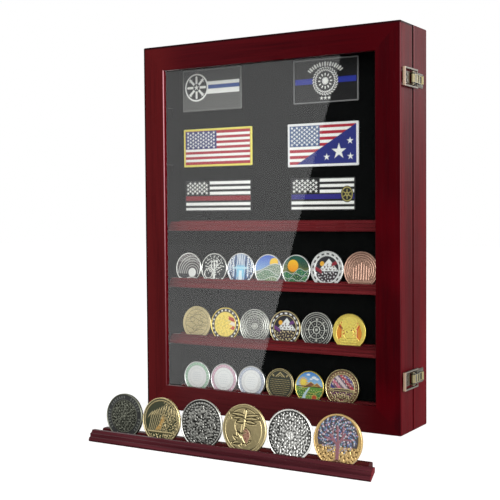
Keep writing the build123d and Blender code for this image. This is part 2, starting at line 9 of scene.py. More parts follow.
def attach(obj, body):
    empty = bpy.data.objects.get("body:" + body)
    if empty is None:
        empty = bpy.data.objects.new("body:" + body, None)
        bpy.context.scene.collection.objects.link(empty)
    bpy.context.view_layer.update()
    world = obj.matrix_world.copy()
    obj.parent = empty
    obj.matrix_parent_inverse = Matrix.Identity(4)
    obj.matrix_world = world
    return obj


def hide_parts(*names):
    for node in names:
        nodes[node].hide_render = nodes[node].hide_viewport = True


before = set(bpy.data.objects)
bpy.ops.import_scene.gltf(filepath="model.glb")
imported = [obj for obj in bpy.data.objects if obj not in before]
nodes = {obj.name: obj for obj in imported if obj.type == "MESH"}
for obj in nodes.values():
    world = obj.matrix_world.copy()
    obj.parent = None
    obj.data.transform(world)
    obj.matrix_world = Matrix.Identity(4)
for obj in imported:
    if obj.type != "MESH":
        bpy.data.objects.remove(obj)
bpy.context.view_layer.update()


# The boards of the box and of its glazed door. They are hardwood under a dark red mahogany
# stain and a thin satin lacquer, mitred and glued at the corners. The grain runs along each.
class Amount:
    """A number that varies over a surface, with the sums that the finishes need."""

    def __init__(self, finish, socket):
        self.finish = finish
        self.socket = socket

    def sum(self, operation, *numbers):
        """The result of one sum on one or two numbers."""
        return self.finish.amount("Math", 0, {"operation": operation}, dict(enumerate(numbers)))

    def __add__(self, other):
        return self.sum("ADD", self, other)

    def __radd__(self, other):
        return self.sum("ADD", other, self)

    def __sub__(self, other):
        return self.sum("SUBTRACT", self, other)

    def __rsub__(self, other):
        return self.sum("SUBTRACT", other, self)

    def __mul__(self, other):
        return self.sum("MULTIPLY", self, other)

    def __rmul__(self, other):
        return self.sum("MULTIPLY", other, self)

    def __pow__(self, other):
        return self.sum("POWER", self, other)

    def __abs__(self):
        return self.sum("ABSOLUTE", self)

    def above(self, low, high):
        """0 at low and 1 at high, and level beyond both."""
        sockets = {"Value": self, "From Min": low, "From Max": high}
        return self.finish.amount("MapRange", 0, {"interpolation_type": "SMOOTHSTEP"}, sockets)


class Finish:
    """A material for one kind of surface, or a world, built from nodes."""

    def __init__(self, name, kind="materials"):
        self.owner = getattr(bpy.data, kind).new(name)
        self.owner.use_nodes = True
        self.tree = self.owner.node_tree
        self.shader = self.tree.nodes.get("Principled BSDF")

    def join(self, socket, value):
        """Gives a socket a value, or a link."""
        value = value.socket if isinstance(value, Amount) else value
        if isinstance(value, bpy.types.NodeSocket):
            self.tree.links.new(value, socket)
        else:
            socket.default_value = value

    def node(self, kind, settings={}, sockets={}):
        """One node: its type, its settings, and the values or links of its sockets."""
        made = self.tree.nodes.new("ShaderNode" + kind)
        for name, value in settings.items():
            setattr(made, name, value)
        for name, value in sockets.items():
            self.join(made.inputs[name], value)
        return made

    def amount(self, kind, output, settings={}, sockets={}):
        """One output of a new node, as a number that varies."""
        return Amount(self, self.node(kind, settings, sockets).outputs[output])

    def parts(self, vector):
        """The three numbers of a vector."""
        split = self.node("SeparateXYZ", {}, {"Vector": vector}).outputs
        return [Amount(self, split[axis]) for axis in "XYZ"]

    def surface(self, sockets):
        """Sets the shader's own sockets."""
        for name, value in sockets.items():
            self.join(self.shader.inputs[name], value)
        return self.owner

    def places(self, stretch=(1.0, 1.0, 1.0)):
        """Where a point is on the object, drawn out along the axes with a low stretch."""
        where = self.node("TexCoord").outputs["Object"]
        return self.node("Mapping", {}, {"Vector": where, "Scale": stretch}).outputs[0]

    def normal(self):
        """The way the flat surface faces."""
        return self.node("NewGeometry").outputs["Normal"]

    def cloud(self, scale, detail=3.0, stretch=(1.0, 1.0, 1.0)):
        """Noise, about 1/scale metres from one spot to the next."""
        sockets = {"Vector": self.places(stretch), "Scale": scale, "Detail": detail}
        return self.amount("TexNoise", 0, {}, sockets)

    def blend(self, share, *ends):
        """A colour between two, by share. Each is as it is seen, in steps of 255, or a link."""
        first, second = (paint(*end) if isinstance(end, tuple) else end for end in ends)
        return self.node("Mix", {"data_type": "RGBA"}, {0: share, 6: first, 7: second}).outputs[2]

    def relief(self, height, distance):
        """A normal for a fine relief of this height in metres."""
        return self.node("Bump", {}, {"Height": height, "Distance": distance, "Strength": 1.0}).outputs[0]


def paint(red, green, blue):
    """A colour as it is seen, in steps of 255, as a shader takes it."""
    seen = np.array([red, green, blue]) / 255.0
    light = np.where(seen <= 0.04045, seen / 12.92, ((seen + 0.055) / 1.055) ** 2.4)
    return (*(float(part) for part in light), 1.0)


wood_dark, seam_shadow = (20, 0, 3), (4, 0, 0)
seam_middle = -0.0025
seam_shadow_middle = -0.0033
door_front = -0.036
groove_mouth, groove_bottom = 0.1594, 0.1597
box_half = 0.165


def lacquered_wood(name, along, stains_and_sheen, side_stain_and_light=None, arris=None, zones=()):
    """Stained wood with its grain along one axis, which is 0, 1 or 2. The stain runs from one red
    at the left end of the box to another at the right, paler at the left as painted sheen. The outer
    sides may have their own red, lighter than the front as painted light, with a painted shadow in
    the seam, a painted highlight beside it, and dark grooves inside. An upright front arris, by its x
    and red, gets a painted highlight. Zones of another red are each an axis, where the red starts
    and is full on it, and the red."""
    finish = Finish(name)
    grain, pore = [1.0, 1.0, 1.0], [1.0, 1.0, 1.0]
    grain[along], pore[along] = 0.035, 0.02
    figure, streak, board = (finish.cloud(*size, grain) for size in ((60.0, 4.0), (420.0, 3.0), (30.0, 1.0)))
    pores = finish.cloud(1500.0, 1.0, pore).above(0.62, 0.7)
    x, y, z = finish.parts(finish.places())
    # The red runs paler to the left: painted sheen, the white that the front would mirror there.
    colour = finish.blend(x.above(-box_half, box_half), *stains_and_sheen)
    if side_stain_and_light:
        # Faces that look sideways take their own red, lighter than the front: painted light.
        aside = finish.parts(finish.normal())[0]
        sided = (aside * aside).above(0.3, 0.8)
        colour = finish.blend(sided, colour, side_stain_and_light)
    tone = (figure - 0.5) * 1.0 + (streak - 0.5) * 0.9 + (board - 0.5) * 0.7
    colour = finish.blend(0.22 - tone, colour, wood_dark)
    colour = finish.blend(pores * 0.22, colour, wood_dark)
    if side_stain_and_light:
        ruddy = finish.cloud(11.0, 1.0).above(0.48, 0.7)
        colour = finish.blend(ruddy * x.above(0.0, box_half) * 0.18, colour, (104, 0, 12))
        # A pale band on each side of the seam, stronger towards the top: a painted highlight on the arrises
        # there.
        from_seam = abs(y - seam_middle)
        worn_and_highlit = from_seam.above(0.0018, 0.0024) - from_seam.above(0.0034, 0.004)
        colour = finish.blend(worn_and_highlit * z.above(0.1, 0.5) * 0.4, colour, (132, 84, 86))
        # A dark band in the seam between door and body, deeper towards the top: a painted shadow of the gap,
        # where the lacquer is also made rougher.
        from_seam_shadow = abs(y - seam_shadow_middle)
        seam_shadowed = (1.0 - from_seam_shadow.above(0.0017, 0.0021)) * (0.5 + z.above(0.1, 0.36) * 0.5)
        colour = finish.blend(seam_shadowed, colour, seam_shadow)
        groove = 1.0 - (x * x).above(groove_mouth ** 2, groove_bottom ** 2)
        colour = finish.blend(groove * y.above(-0.002, -0.0017), colour, (6, 5, 6))
    # A painted highlight along an upright front arris, stronger towards the top.
    if arris:
        near = (x - arris[0]) * (x - arris[0]) + (y - door_front) * (y - door_front)
        rubbed_and_highlit = (1.0 - near.above(0.0005 ** 2, 0.0012 ** 2)) * (0.1 + z.above(0.02, 0.42) * 0.9)
        colour = finish.blend(rubbed_and_highlit, colour, arris[1])
    for axis, start, full, red in zones:
        share = (x, y, z)[axis].above(min(start, full), max(start, full))
        colour = finish.blend(share if start < full else 1.0 - share, colour, red)
    rough = 0.22 + finish.cloud(22.0, 2.0) * 0.14 + pores * 0.1
    if side_stain_and_light:
        rough = rough + seam_shadowed * 0.78 + sided * (1.0 - z.above(0.02, 0.4)) * 0.25
    return finish.surface({
        "Base Color": colour,
        "Roughness": rough,
        "Specular IOR Level": 0.025,
        "Normal": finish.relief(streak * 0.6 - pores * 0.5, 0.00005),
    })


def dress(node, material):
    """Gives a carried-over node its finish."""
    mesh = nodes[node].data
    mesh.materials.clear()
    mesh.materials.append(material)


# The outer sides' red is lighter than the front's: painted light.
pale_red, mid_red, deep_red, side_lit_red = (74, 16, 18), (66, 11, 16), (53, 1, 5), (86, 3, 12)
stiles, rails = (pale_red, deep_red), (mid_red, deep_red)
# Level boards turn paler at their left ends and deeper at their right, the same painted sheen as the stiles.
rail_end_sheen = (0, -0.1, -0.15, pale_red), (0, 0.09, 0.145, deep_red)
outer_rims = (2, 0.4284, 0.4304, (30, 4, 7)), (0, -0.1612, -0.1634, (34, 8, 8))
# Painted highlights on the left stile's inner arris and the right stile's outer front arris.
inner_arris_highlight, outer_arris_highlight = (-0.136, (186, 128, 134)), (box_half, (100, 54, 58))
for board, along, stains_and_sheen, side_stain_and_light, arris in (
        ("door_left_stile", 2, stiles, side_lit_red, inner_arris_highlight),
        ("door_right_stile", 2, stiles, side_lit_red, outer_arris_highlight),
        ("door_top_rail", 0, rails, None, None),
        # The bottom rail is greyer: a painted reflection of the floor.
        ("door_bottom_rail", 0, ((80, 26, 29), (60, 18, 20)), None, None),
        ("case_left_side", 2, stiles, side_lit_red, None), ("case_right_side", 2, stiles, side_lit_red, None),
        ("case_top", 0, rails, None, None), ("case_bottom", 0, rails, None, None)):
    zones = () if along else rail_end_sheen
    if board.startswith("door"):
        zones += outer_rims
    dress(board, lacquered_wood("mahogany_" + board, along, stains_and_sheen, side_stain_and_light, arris, zones))
dress("glass_beads", lacquered_wood("mahogany_beads", 2, rails))


# The pane in the door. It is 2.2 mm float glass held by four beads. Each face mirrors a
# little of what stands in front of it, and more at a slant.
glass = Finish("clear_glass")
mirrored = glass.amount("LayerWeight", "Facing", {}, {"Blend": 0.5}) ** 5.0 * 0.96 + 0.036
clear = glass.node("BsdfTransparent", {}, {"Color": (0.985, 0.992, 0.988, 1.0)})
gloss = glass.node("BsdfGlossy", {}, {"Color": (1.0, 1.0, 1.0, 1.0), "Roughness": 0.0})
pane = glass.node("MixShader", {}, {0: mirrored, 1: clear.outputs[0], 2: gloss.outputs[0]})
glass.join(glass.tree.nodes["Material Output"].inputs["Surface"], pane.outputs[0])
dress("door_glass", glass.owner)


# The back of the body. A raw hardboard panel sits in a rebate, held by brads. In front of
# it lies a board covered with black felt, and felt strips line the walls between the shelves.
side_gap = 0.0003
wall_x = 0.156
felt_depth = (-0.0012, 0.0244)
felt_thick = 0.0005
shelf_levels = [0.009] + [0.074 + 0.0695 * step for step in range(5)]
nosing_height = 0.0112
inner_top = 0.423


def felt(name):
    """Black wool felt, matted, with paler fibres lying across it."""
    finish = Finish(name)
    fibre = finish.cloud(2600.0, 2.0, (1.0, 1.0, 0.35))
    matted = finish.cloud(500.0)
    tone = fibre.above(0.45, 0.75) * 0.5 + matted * 0.25 + finish.cloud(40.0, 2.0) * 0.2
    return finish.surface({
        "Base Color": finish.blend(tone, (1, 2, 2), (9, 10, 10)),
        "Roughness": 0.96,
        "Specular IOR Level": 0.1,
        "Normal": finish.relief(fibre + matted * 0.6, 0.0003),
    })


def put(name, data):
    """Puts an object in the scene."""
    made = bpy.data.objects.new(name, data)
    bpy.context.scene.collection.objects.link(made)
    return made


def mesh_of(name, work):
    """The finished mesh of a shape that was worked on."""
    mesh = bpy.data.meshes.new(name)
    work.to_mesh(mesh)
    work.free()
    return mesh


def new_piece(name, mesh, material, body, *replaced):
    """Puts a finished mesh in the scene, on its body, in place of CAD nodes."""
    piece = put(name, mesh)
    mesh.materials.append(material)
    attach(piece, body)
    if replaced:
        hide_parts(*replaced)
    return piece


def add_block(work, low, high):
    """A block in a mesh, from its low corner to its high corner."""
    low, high = np.array(low), np.array(high)
    made = bmesh.ops.create_cube(work, size=1.0)["verts"]
    bmesh.ops.scale(work, vec=list(high - low), verts=made)
    bmesh.ops.translate(work, vec=list((high + low) / 2), verts=made)


dress("felt_board", felt("black_felt"))
strips = bmesh.new()
strip_length = 0.0
ends = [level - side_gap for level in shelf_levels[1:]] + [inner_top - felt_thick]
for side in (-1, 1):
    inner, outer = sorted((side * (wall_x - felt_thick), side * wall_x))
    for level, end in zip(shelf_levels, ends):
        start = level + nosing_height + side_gap
        add_block(strips, (inner, felt_depth[0], start), (outer, felt_depth[1], end))
        strip_length += end - start
add_block(strips, (-wall_x, felt_depth[0], inner_top - felt_thick), (wall_x, felt_depth[1], inner_top))
wall_felt = new_piece("wall_felt", mesh_of("wall_felt", strips), felt("wall_felt"), "case", "felt_linings")
strip_length + 2 * wall_x

hardboard = Finish("raw_hardboard")
pulp = hardboard.cloud(900.0, 4.0)
dress("back_panel", hardboard.surface({
    "Base Color": hardboard.blend(pulp * 0.6 + hardboard.cloud(12.0) * 0.4, (92, 62, 40), (140, 104, 72)),
    "Roughness": 0.72 + pulp * 0.2,
    "Normal": hardboard.relief(pulp, 0.0002),
}))


# The cloth patches, held on the felt. Each is twill with bands, stars and emblems sewn in satin
# stitch and a corded edge, and its hook backing grips the felt. Sizes on them are millimetres.
patch_back_y = 0.0244
patch_cell = 0.45
patch_corner = 1.5
patch_ground = 0.8
patch_sewn = 1.05
patch_edge_top = 1.4
patch_soft = 0.5
stitch_pitch = 0.42
white_thread, pale_thread, black_thread = (252, 252, 248), (240, 240, 240), (20, 20, 22)
red_thread, blue_thread, gold_thread = (176, 30, 52), (28, 38, 112), (240, 226, 104)


def disc(x, y, middle=(0.0, 0.0), reach=1.0):
    """The distance to a round outline."""
    return np.hypot(x - middle[0], y - middle[1]) - reach


def ring(x, y, reach, half, middle=(0.0, 0.0)):
    """The distance to a band that runs round a middle."""
    return abs(disc(x, y, middle, reach)) - half


def stroke(x, y, start, end, half):
    """The distance to a straight stroke with round ends."""
    run = np.subtract(end, start)
    share = ((x - start[0]) * run[0] + (y - start[1]) * run[1]) / float(run @ run)
    share = np.clip(share, 0.0, 1.0)
    return np.hypot(x - start[0] - share * run[0], y - start[1] - share * run[1]) - half


def both(*outlines):
    """The distance to what lies inside every outline."""
    return np.maximum.reduce(outlines)


def bar(x, y, left, right, low, high):
    """The distance to an upright rectangle."""
    aside = abs(x - (left + right) / 2) - (right - left) / 2
    return both(aside, abs(y - (low + high) / 2) - (high - low) / 2)


def star(x, y, middle, reach):
    """The distance to a five-pointed star."""
    fifth = 2 * math.pi / 5
    out = disc(x, y, middle, 0.0)
    turn = abs((np.arctan2(x - middle[0], y - middle[1]) + fifth / 2) % fifth - fifth / 2)
    notch = (0.382 * reach * math.cos(fifth / 2), 0.382 * reach * math.sin(fifth / 2))
    side = math.hypot(notch[0] - reach, notch[1])
    return ((out * np.cos(turn) - reach) * notch[1] + out * np.sin(turn) * (reach - notch[0])) / side


def around(count, reach, turn=0.0, middle=(0.0, 0.0)):
    """Places evenly round a circle, each with its angle."""
    angles = [turn + 2 * math.pi * step / count for step in range(count)]
    return [(middle[0] + reach * math.cos(angle), middle[1] + reach * math.sin(angle), angle)
            for angle in angles]


class Face:
    """The face of a patch or coin while it is worked: how high each place stands, what colour
    covers it, and how far it lies across the run of its stitches."""

    def __init__(self, places, edge):
        self.x, self.y, self.edge = places[:, 0], places[:, 1], edge
        self.height = np.zeros(self.x.shape)
        self.cover = np.zeros(self.x.shape)
        self.colour = np.zeros((*self.x.shape, 3))
        self.across = self.x + self.y

    def inside(self, distance, edge):
        """1 inside an outline and 0 outside, from the distance to it."""
        return np.clip(0.5 - distance / (edge or self.edge), 0.0, 1.0)

    def raised(self, distance, height=0.7, edge=None):
        """Bare metal that stands up inside an outline."""
        share = self.inside(distance, edge)
        self.height = np.maximum(self.height, height * share)
        self.cover = self.cover * (1.0 - share)

    def cut(self, distance, height=0.0, edge=None):
        """Bare metal cut down inside an outline."""
        share = self.inside(distance, edge)
        self.height = self.height + (height - self.height) * share
        self.cover = self.cover * (1.0 - share)

    def laid(self, distance, colour, height=0.25, edge=None, across=None):
        """Enamel or thread of one colour inside an outline."""
        share = self.inside(distance, edge)
        part = share[..., None]
        shade = colour(self.x, self.y) if callable(colour) else np.array(paint(*colour)[:3])
        self.colour = self.colour * (1.0 - part) + shade * part
        self.cover = np.maximum(self.cover, share)
        self.height = self.height * (1.0 - share) + height * share
        if across is not None:
            self.across = np.where(distance < 0.0, across, self.across)

    def marked(self, distance, height, edge=None, colour=None):
        """Enamel of a colour inside an outline, or bare metal that stands up."""
        if colour:
            self.laid(distance, colour, height, edge)
        else:
            self.raised(distance, height, edge)


def sew_bands(face, left, right, high, bands):
    """Level bands from the top down. Each is its height and its thread."""
    for tall, thread in bands:
        if thread:
            band = bar(face.x, face.y, left, right, high - tall, high)
            face.laid(band, thread, patch_sewn, across=face.x)
        high -= tall


def sew_canton(face, left, right, low, high, thread, rows, reach, most=6):
    """A corner block with rows of white stars, each row set between those of the next."""
    face.laid(bar(face.x, face.y, left, right, low, high), thread, patch_sewn, across=face.x - face.y)
    for row in range(rows):
        up = low + (high - low) * (row + 1) / (rows + 1)
        for place in range(most - row % 2):
            across = left + (right - left) * (2 * place + 1 + row % 2) / (2 * most)
            face.laid(star(face.x, face.y, (across, up), reach), white_thread, 1.25, across=face.y)


def sew_rays(face, count, reach, half, middle, thread=white_thread, height=1.3, turn=0.0):
    """Strokes from a middle to places round it. It gives the places."""
    tips = [(across, up) for across, up, _ in around(count, reach, turn, middle)]
    for tip in tips:
        face.laid(stroke(face.x, face.y, middle, tip, half), thread, height, across=face.x)
    return tips


def grey_banner(face, x, y, half, tall):
    """Grey twill with a white and blue band, and a black and white rosette in a ring."""
    face.laid(bar(x, y, -half, half, -tall, -5.0), (98, 98, 96), 0.95, across=x * 0.5 + y)
    sew_bands(face, -8.0, half - 3.0, 10.0, [(4.4, white_thread), (4.6, (40, 76, 150)), (6.0, white_thread)])
    middle = (-22.0, 3.5)
    face.laid(disc(x, y, middle, 17.0), white_thread, 1.15, across=np.arctan2(y - 3.5, x + 22.0) * 8)
    face.laid(disc(x, y, middle, 15.0), black_thread, 1.0, across=x)
    for tip in sew_rays(face, 8, 12.5, 1.5, middle, height=1.2)[1::2]:
        face.laid(star(x, y, tip, 3.2), white_thread, 1.3, across=y)
    face.laid(disc(x, y, middle, 4.6), black_thread, 1.25, across=x)
    face.laid(star(x, y, middle, 4.0), white_thread, 1.35, across=y)


def black_banner(face, x, y, half, tall):
    """Black twill with one blue band, under a white wreath with a rosette."""
    middle = (0.0, -0.5)
    sew_bands(face, 2.6 - half, half - 2.6, 3.2, [(6.4, (30, 46, 158))])
    face.laid(disc(x, y, middle, 16.0), black_thread, 1.1, across=x)
    for pair in zip(around(30, 14.6, 0.0, middle), around(30, 11.8, 0.0, middle)):
        for (across, up, angle), lean in zip(pair, (1.0, -1.0)):
            tip = (across + 2.3 * math.cos(angle + lean), up + 2.3 * math.sin(angle + lean))
            face.laid(stroke(x, y, (across, up), tip, 0.55), white_thread, 1.3, across=x + y)
    sew_rays(face, 12, 8.4, 0.7, middle)
    face.laid(ring(x, y, 5.2, 0.9, middle), black_thread, 1.2, across=x)
    for step in range(-7, 8):
        angle = math.pi / 2 - step * 0.125
        foot, tip = ((out * math.cos(angle) * 1.25, out * math.sin(angle) - 2.2) for out in (19.6, 22.6))
        face.laid(stroke(x, y, foot, tip, 0.75 if step % 2 else 1.15), white_thread, 1.3, across=x + y)
    for step in (-1, 0, 1):
        face.laid(star(x, y, (4.8 * step, -19.8), 2.4), white_thread, 1.3, across=y)


def striped_banner(inset, corner, thread, reach, halved):
    """Thirteen red and white bands, with white stars on a blue corner. The lower right half may
    be plain blue under white stars."""
    def design(face, x, y, half, tall):
        left, right, high = inset - half, half - inset, tall - inset
        band = 2 * high / 13
        bands = [(band, white_thread if step % 2 else red_thread) for step in range(13)]
        sew_bands(face, left, right, high, bands)
        sew_canton(face, left, left + corner * (right - left), high - 7 * band, high, thread, 9, reach)
        if halved:
            slope = 2 * high / (right - left - 9.0)
            below = (y - slope * (x - right) - high) / math.hypot(1.0, slope)
            face.laid(both(bar(x, y, left, right, -high, high), below), (30, 40, 122), 1.15, across=x)
            face.laid(star(x, y, (21.0, -8.5), 9.5), white_thread, 1.35, across=x + y)
            for place in (5.5, -14.5), (35.5, -14.5), (35.0, 3.0):
                face.laid(star(x, y, place, 4.2), white_thread, 1.35, across=x + y)
    return design


def lined_banner(line, corner, badge):
    """White bands and stars on black, with one band in another thread and maybe a gold badge."""
    def design(face, x, y, half, tall):
        split = -half + corner * 2 * half
        wide, narrow, gap = (3.6, white_thread), (3.3, white_thread), (2.9, None)
        sew_bands(face, split + 1.0, half - 1.2, tall - 1.2, [wide, gap, narrow, gap, wide])
        sew_bands(face, 1.2 - half, half - 1.2, tall - 19.0, [(5.6, line), (2.4, None), wide, gap, narrow])
        sew_canton(face, 1.2 - half, split, tall - 17.8, tall - 1.0, black_thread, 6, 2.35, 5)
        if badge:
            gold, middle = (176, 164, 96), (half - 10.0, -0.5)
            oval = np.hypot((x - middle[0]) * 1.2, y - middle[1])
            face.laid(oval - 9.4, black_thread, 1.15, across=x)
            turned = np.arctan2(y - middle[1], x - middle[0]) * 6
            face.laid(abs(oval - 7.8) - 0.7, gold, 1.3, across=turned)
            sew_rays(face, 6, 5.2, 0.6, middle, gold, turn=math.pi / 6)
            face.laid(disc(x, y, middle, 2.4), gold, 1.35, across=y)
            face.laid(disc(x, y, middle, 1.1), black_thread, 1.3, across=y)
    return design


def embroidery(name):
    """Shiny thread in close rows, over twill."""
    finish = Finish(name)
    thread = finish.node("Attribute", {"attribute_name": "enamel"}).outputs["Color"]
    across = finish.amount("Attribute", "Fac", {"attribute_name": "across"})
    strand = across.sum("SINE", across * (2 * math.pi / stitch_pitch))
    fuzz = finish.cloud(2400.0)
    # The thread is darker between strands as painted shade, and at random with the fuzz.
    gap = 0.07 - strand * 0.09 + (fuzz - 0.5) * 0.26 + (finish.cloud(260.0, 2.0) - 0.5) * 0.16
    return finish.surface({
        "Base Color": finish.blend(gap, thread, (8, 8, 10)),
        "Roughness": 0.5 + fuzz * 0.2,
        "Specular IOR Level": 0.25,
        "Sheen Weight": 0.15,
        "Sheen Roughness": 0.5,
        "Normal": finish.relief(strand * 0.4 + fuzz * 0.6, 0.00012),
    })


def open_edges(shape):
    """The edges round an open shape."""
    return [edge for edge in shape if isinstance(edge, bmesh.types.BMEdge) and edge.is_boundary]


def points_of(mesh):
    """A mesh's points, as rows of numbers."""
    places = np.empty(len(mesh.vertices) * 3, dtype=np.float32)
    mesh.vertices.foreach_get("co", places)
    return places.reshape(-1, 3)


def finish_mesh(mesh, places, sharp, placing, **values):
    """Gives a worked mesh its points, its values for the finish, its sharp edges and its place."""
    mesh.vertices.foreach_set("co", places.ravel())
    for name, value in values.items():
        kind, key = ("FLOAT_COLOR", "color") if value.ndim > 1 else ("FLOAT", "value")
        mesh.attributes.new(name, kind, "POINT").data.foreach_set(key, value.ravel())
    mesh.shade_smooth()
    mesh.set_sharp_from_angle(angle=math.radians(sharp))
    mesh.transform(placing)


def sew_patch(name, design, middle_x, middle_z, width, height, ground, edging, edging_width):
    """One patch: a thin slab of cloth with a worked face, a corded edge and a flat back."""
    cloth = bmesh.new()
    segments = {"x_segments": round(width / patch_cell), "y_segments": round(height / patch_cell)}
    bmesh.ops.create_grid(cloth, size=0.5, **segments)
    for vert in cloth.verts:
        x, y = vert.co.x * width, vert.co.y * height
        past_x, past_y = abs(x) - width / 2 + patch_corner, abs(y) - height / 2 + patch_corner
        if past_x > 0.0 and past_y > 0.0:
            drawn_in = 1.0 - max(past_x, past_y) / math.hypot(past_x, past_y)
            x -= math.copysign(past_x * drawn_in, x)
            y -= math.copysign(past_y * drawn_in, y)
        vert.co = (x, y, 0.0)
    worked = len(cloth.verts)
    grown = bmesh.ops.extrude_edge_only(cloth, edges=open_edges(cloth.edges))["geom"]
    bmesh.ops.holes_fill(cloth, edges=open_edges(grown), sides=0)
    bmesh.ops.recalc_face_normals(cloth, faces=cloth.faces)
    mesh = mesh_of(name, cloth)

    places = points_of(mesh)
    face = Face(places, patch_soft)
    x, y = face.x, face.y
    face.laid(bar(x, y, -width, width, -height, height), ground, patch_ground)
    design(face, x, y, width / 2, height / 2)
    from_side, from_end = width / 2 - abs(x), height / 2 - abs(y)
    in_from_edge = np.minimum(from_side, from_end)
    along = np.where(from_side < from_end, y, x)
    round_over = np.clip(1.0 - (2 * in_from_edge / edging_width - 1.0) ** 2, 0.0, 1.0) ** 0.5
    ridge = np.where(in_from_edge < edging_width / 2, 0.5, patch_ground)
    ridge = ridge + (patch_edge_top - 0.1 - ridge) * round_over
    face.laid(in_from_edge - edging_width, edging, ridge, across=(along + in_from_edge * 0.4) * 0.5)
    face.height[worked:] = 0.0
    places[:, 2] = face.height
    upright = Matrix.Rotation(math.radians(90), 4, "X") @ Matrix.Scale(0.001, 4)
    finish_mesh(mesh, places, 60, Matrix.Translation((middle_x, patch_back_y, middle_z)) @ upright,
                enamel=np.insert(face.colour, 3, 1.0, axis=1), across=face.across)
    piece = new_piece("sewn_" + name, mesh, embroidery("thread_" + name), "case", name)
    return piece


whole_flag = striped_banner(3.0, 0.49, blue_thread, 2.15, False)
halved_flag = striped_banner(2.6, 0.46, (50, 84, 134), 2.05, True)
red_lined = lined_banner((138, 28, 40), 0.37, False)
blue_lined = lined_banner((38, 32, 128), 0.45, True)
for place, slot, design, *sizes in (
        ("upper_left", "grey", grey_banner, -0.107, 0.385, 85.5, 51.0, (56, 57, 57), (118, 118, 116), 1.6),
        ("upper_right", "black", black_banner, 0.048, 0.3845, 83.0, 50.0, (15, 15, 17), (128, 128, 128), 1.5),
        ("middle_left", "red_white", whole_flag, -0.0995, 0.3145, 99.0, 46.5, red_thread, gold_thread, 2.6),
        ("middle_right", "red_white", halved_flag, 0.044, 0.312, 91.0, 50.0, red_thread, pale_thread, 2.8),
        ("lower_left", "grey", red_lined, -0.0995, 0.2555, 96.0, 37.5, black_thread, black_thread, 1.2),
        ("lower_right", "grey", blue_lined, 0.0435, 0.2555, 83.0, 37.5, black_thread, black_thread, 1.2)):
    sew_patch("patch_" + place, design, *sizes)


# The coin shelves. Each is one moulded length of the same wood, with a rounded nosing, a
# groove for the coins and a ledge behind. Four slide into the side grooves and one stands outside.
# The fitted shelves are stained lighter than the loose one, as painted light that makes up for the shade
# inside the case, and paler at the left as painted sheen.
for shelf in ("shelf_1", "shelf_2", "shelf_3", "shelf_4"):
    dress(shelf, lacquered_wood("mahogany_" + shelf, 0, ((116, 40, 44), (106, 34, 38))))
# The loose shelf is darker behind its nosing, has a painted shadow along its foot and a painted highlight on
# its right end.
dress("loose_shelf", lacquered_wood("mahogany_loose_shelf", 0, ((84, 37, 43), (84, 37, 43)), zones=(
    (1, -0.2045, -0.2035, (60, 18, 19)),
    (2, 0.0022, 0.001, (44, 12, 16)),
    (0, 0.2096, 0.21, (100, 22, 30)))))


# Steel and bronze fittings: butt hinges let in on the left, their pins and screws, the
# saw-tooth hangers, their screws and the panel's brads.
def plated_metal(name, bright, worn_and_highlit, dark, rough):
    """Plated metal that is bright on its edges and dull in its hollows."""
    finish = Finish(name)
    rounded = finish.node("Bevel", {"samples": 6}, {"Radius": 0.0006}).outputs[0]
    facing = {0: finish.normal(), 1: rounded}
    turned = finish.amount("VectorMath", "Value", {"operation": "DOT_PRODUCT"}, facing)
    rubbed_and_highlit = 1.0 - turned.above(0.82, 0.985)
    mottled = finish.cloud(700.0, 4.0)
    flat = finish.blend(mottled * 0.6 + finish.cloud(160.0, 2.0) * 0.4, dark, bright)
    return finish.surface({
        "Base Color": finish.blend(rubbed_and_highlit * 0.85, flat, worn_and_highlit),
        "Metallic": 1.0,
        "Roughness": rough + mottled * 0.2,
        "Normal": finish.relief(mottled, 0.00003),
    })


bronze = plated_metal("antique_bronze", (118, 112, 78), (248, 236, 206), (40, 40, 26), 0.3)
screw_bronze = plated_metal("screw_bronze", (150, 134, 98), (220, 206, 166), (84, 74, 52), 0.34)
zinc = plated_metal("zinc_plate", (176, 178, 180), (226, 227, 228), (120, 122, 126), 0.3)
for metal, fittings in (
        (bronze, [height + part for height in ("upper_hinge_", "lower_hinge_")
                  for part in ("door_leaf", "case_leaf", "pin")]),
        (screw_bronze, ["hinge_door_screws", "hinge_case_screws", "latch_base_screws"]),
        (zinc, ["back_panel_brads", "left_hanger", "right_hanger", "hanger_screws"])):
    for fitting in fittings:
        dress(fitting, metal)


# The toggle latches on the right side. Each has a base plate with two walls, a stepped lever
# with two sunk panels on a pin, a square bail, and a hook plate on the door. They are bronzed.
latch_mean_height = 0.216
latch_half_apart = 0.1585
band_soft = 0.0002


def bronzed(name, flat, bands=()):
    """Antique bronze, black on its level faces as painted shade, with bands of other tones along the
    latch, most of them painted highlights and shade. Each band is where it starts and ends, its half
    height and its tone."""
    finish = Finish(name)
    y, z = finish.parts(finish.places())[1:]
    off = abs(abs(z - latch_mean_height) - latch_half_apart)
    mottled = finish.cloud(1200.0, 4.0)
    colour = flat
    for start, end, half, tone in bands:
        share = y.above(start - band_soft, start + band_soft) - y.above(end - band_soft, end + band_soft)
        share = share * (1.0 - off.above(half - band_soft, half + band_soft))
        colour = finish.blend(share, colour, tone)
    level = finish.parts(finish.normal())[2]
    shaded = (level * level).above(0.3, 0.8) * 0.8 + (mottled - 0.5) * 0.5
    return finish.surface({
        "Base Color": finish.blend(shaded, colour, (22, 24, 14)),
        "Metallic": 0.35,
        "Roughness": 0.32 + mottled * 0.16,
        "Normal": finish.relief(mottled, 0.00003),
    })


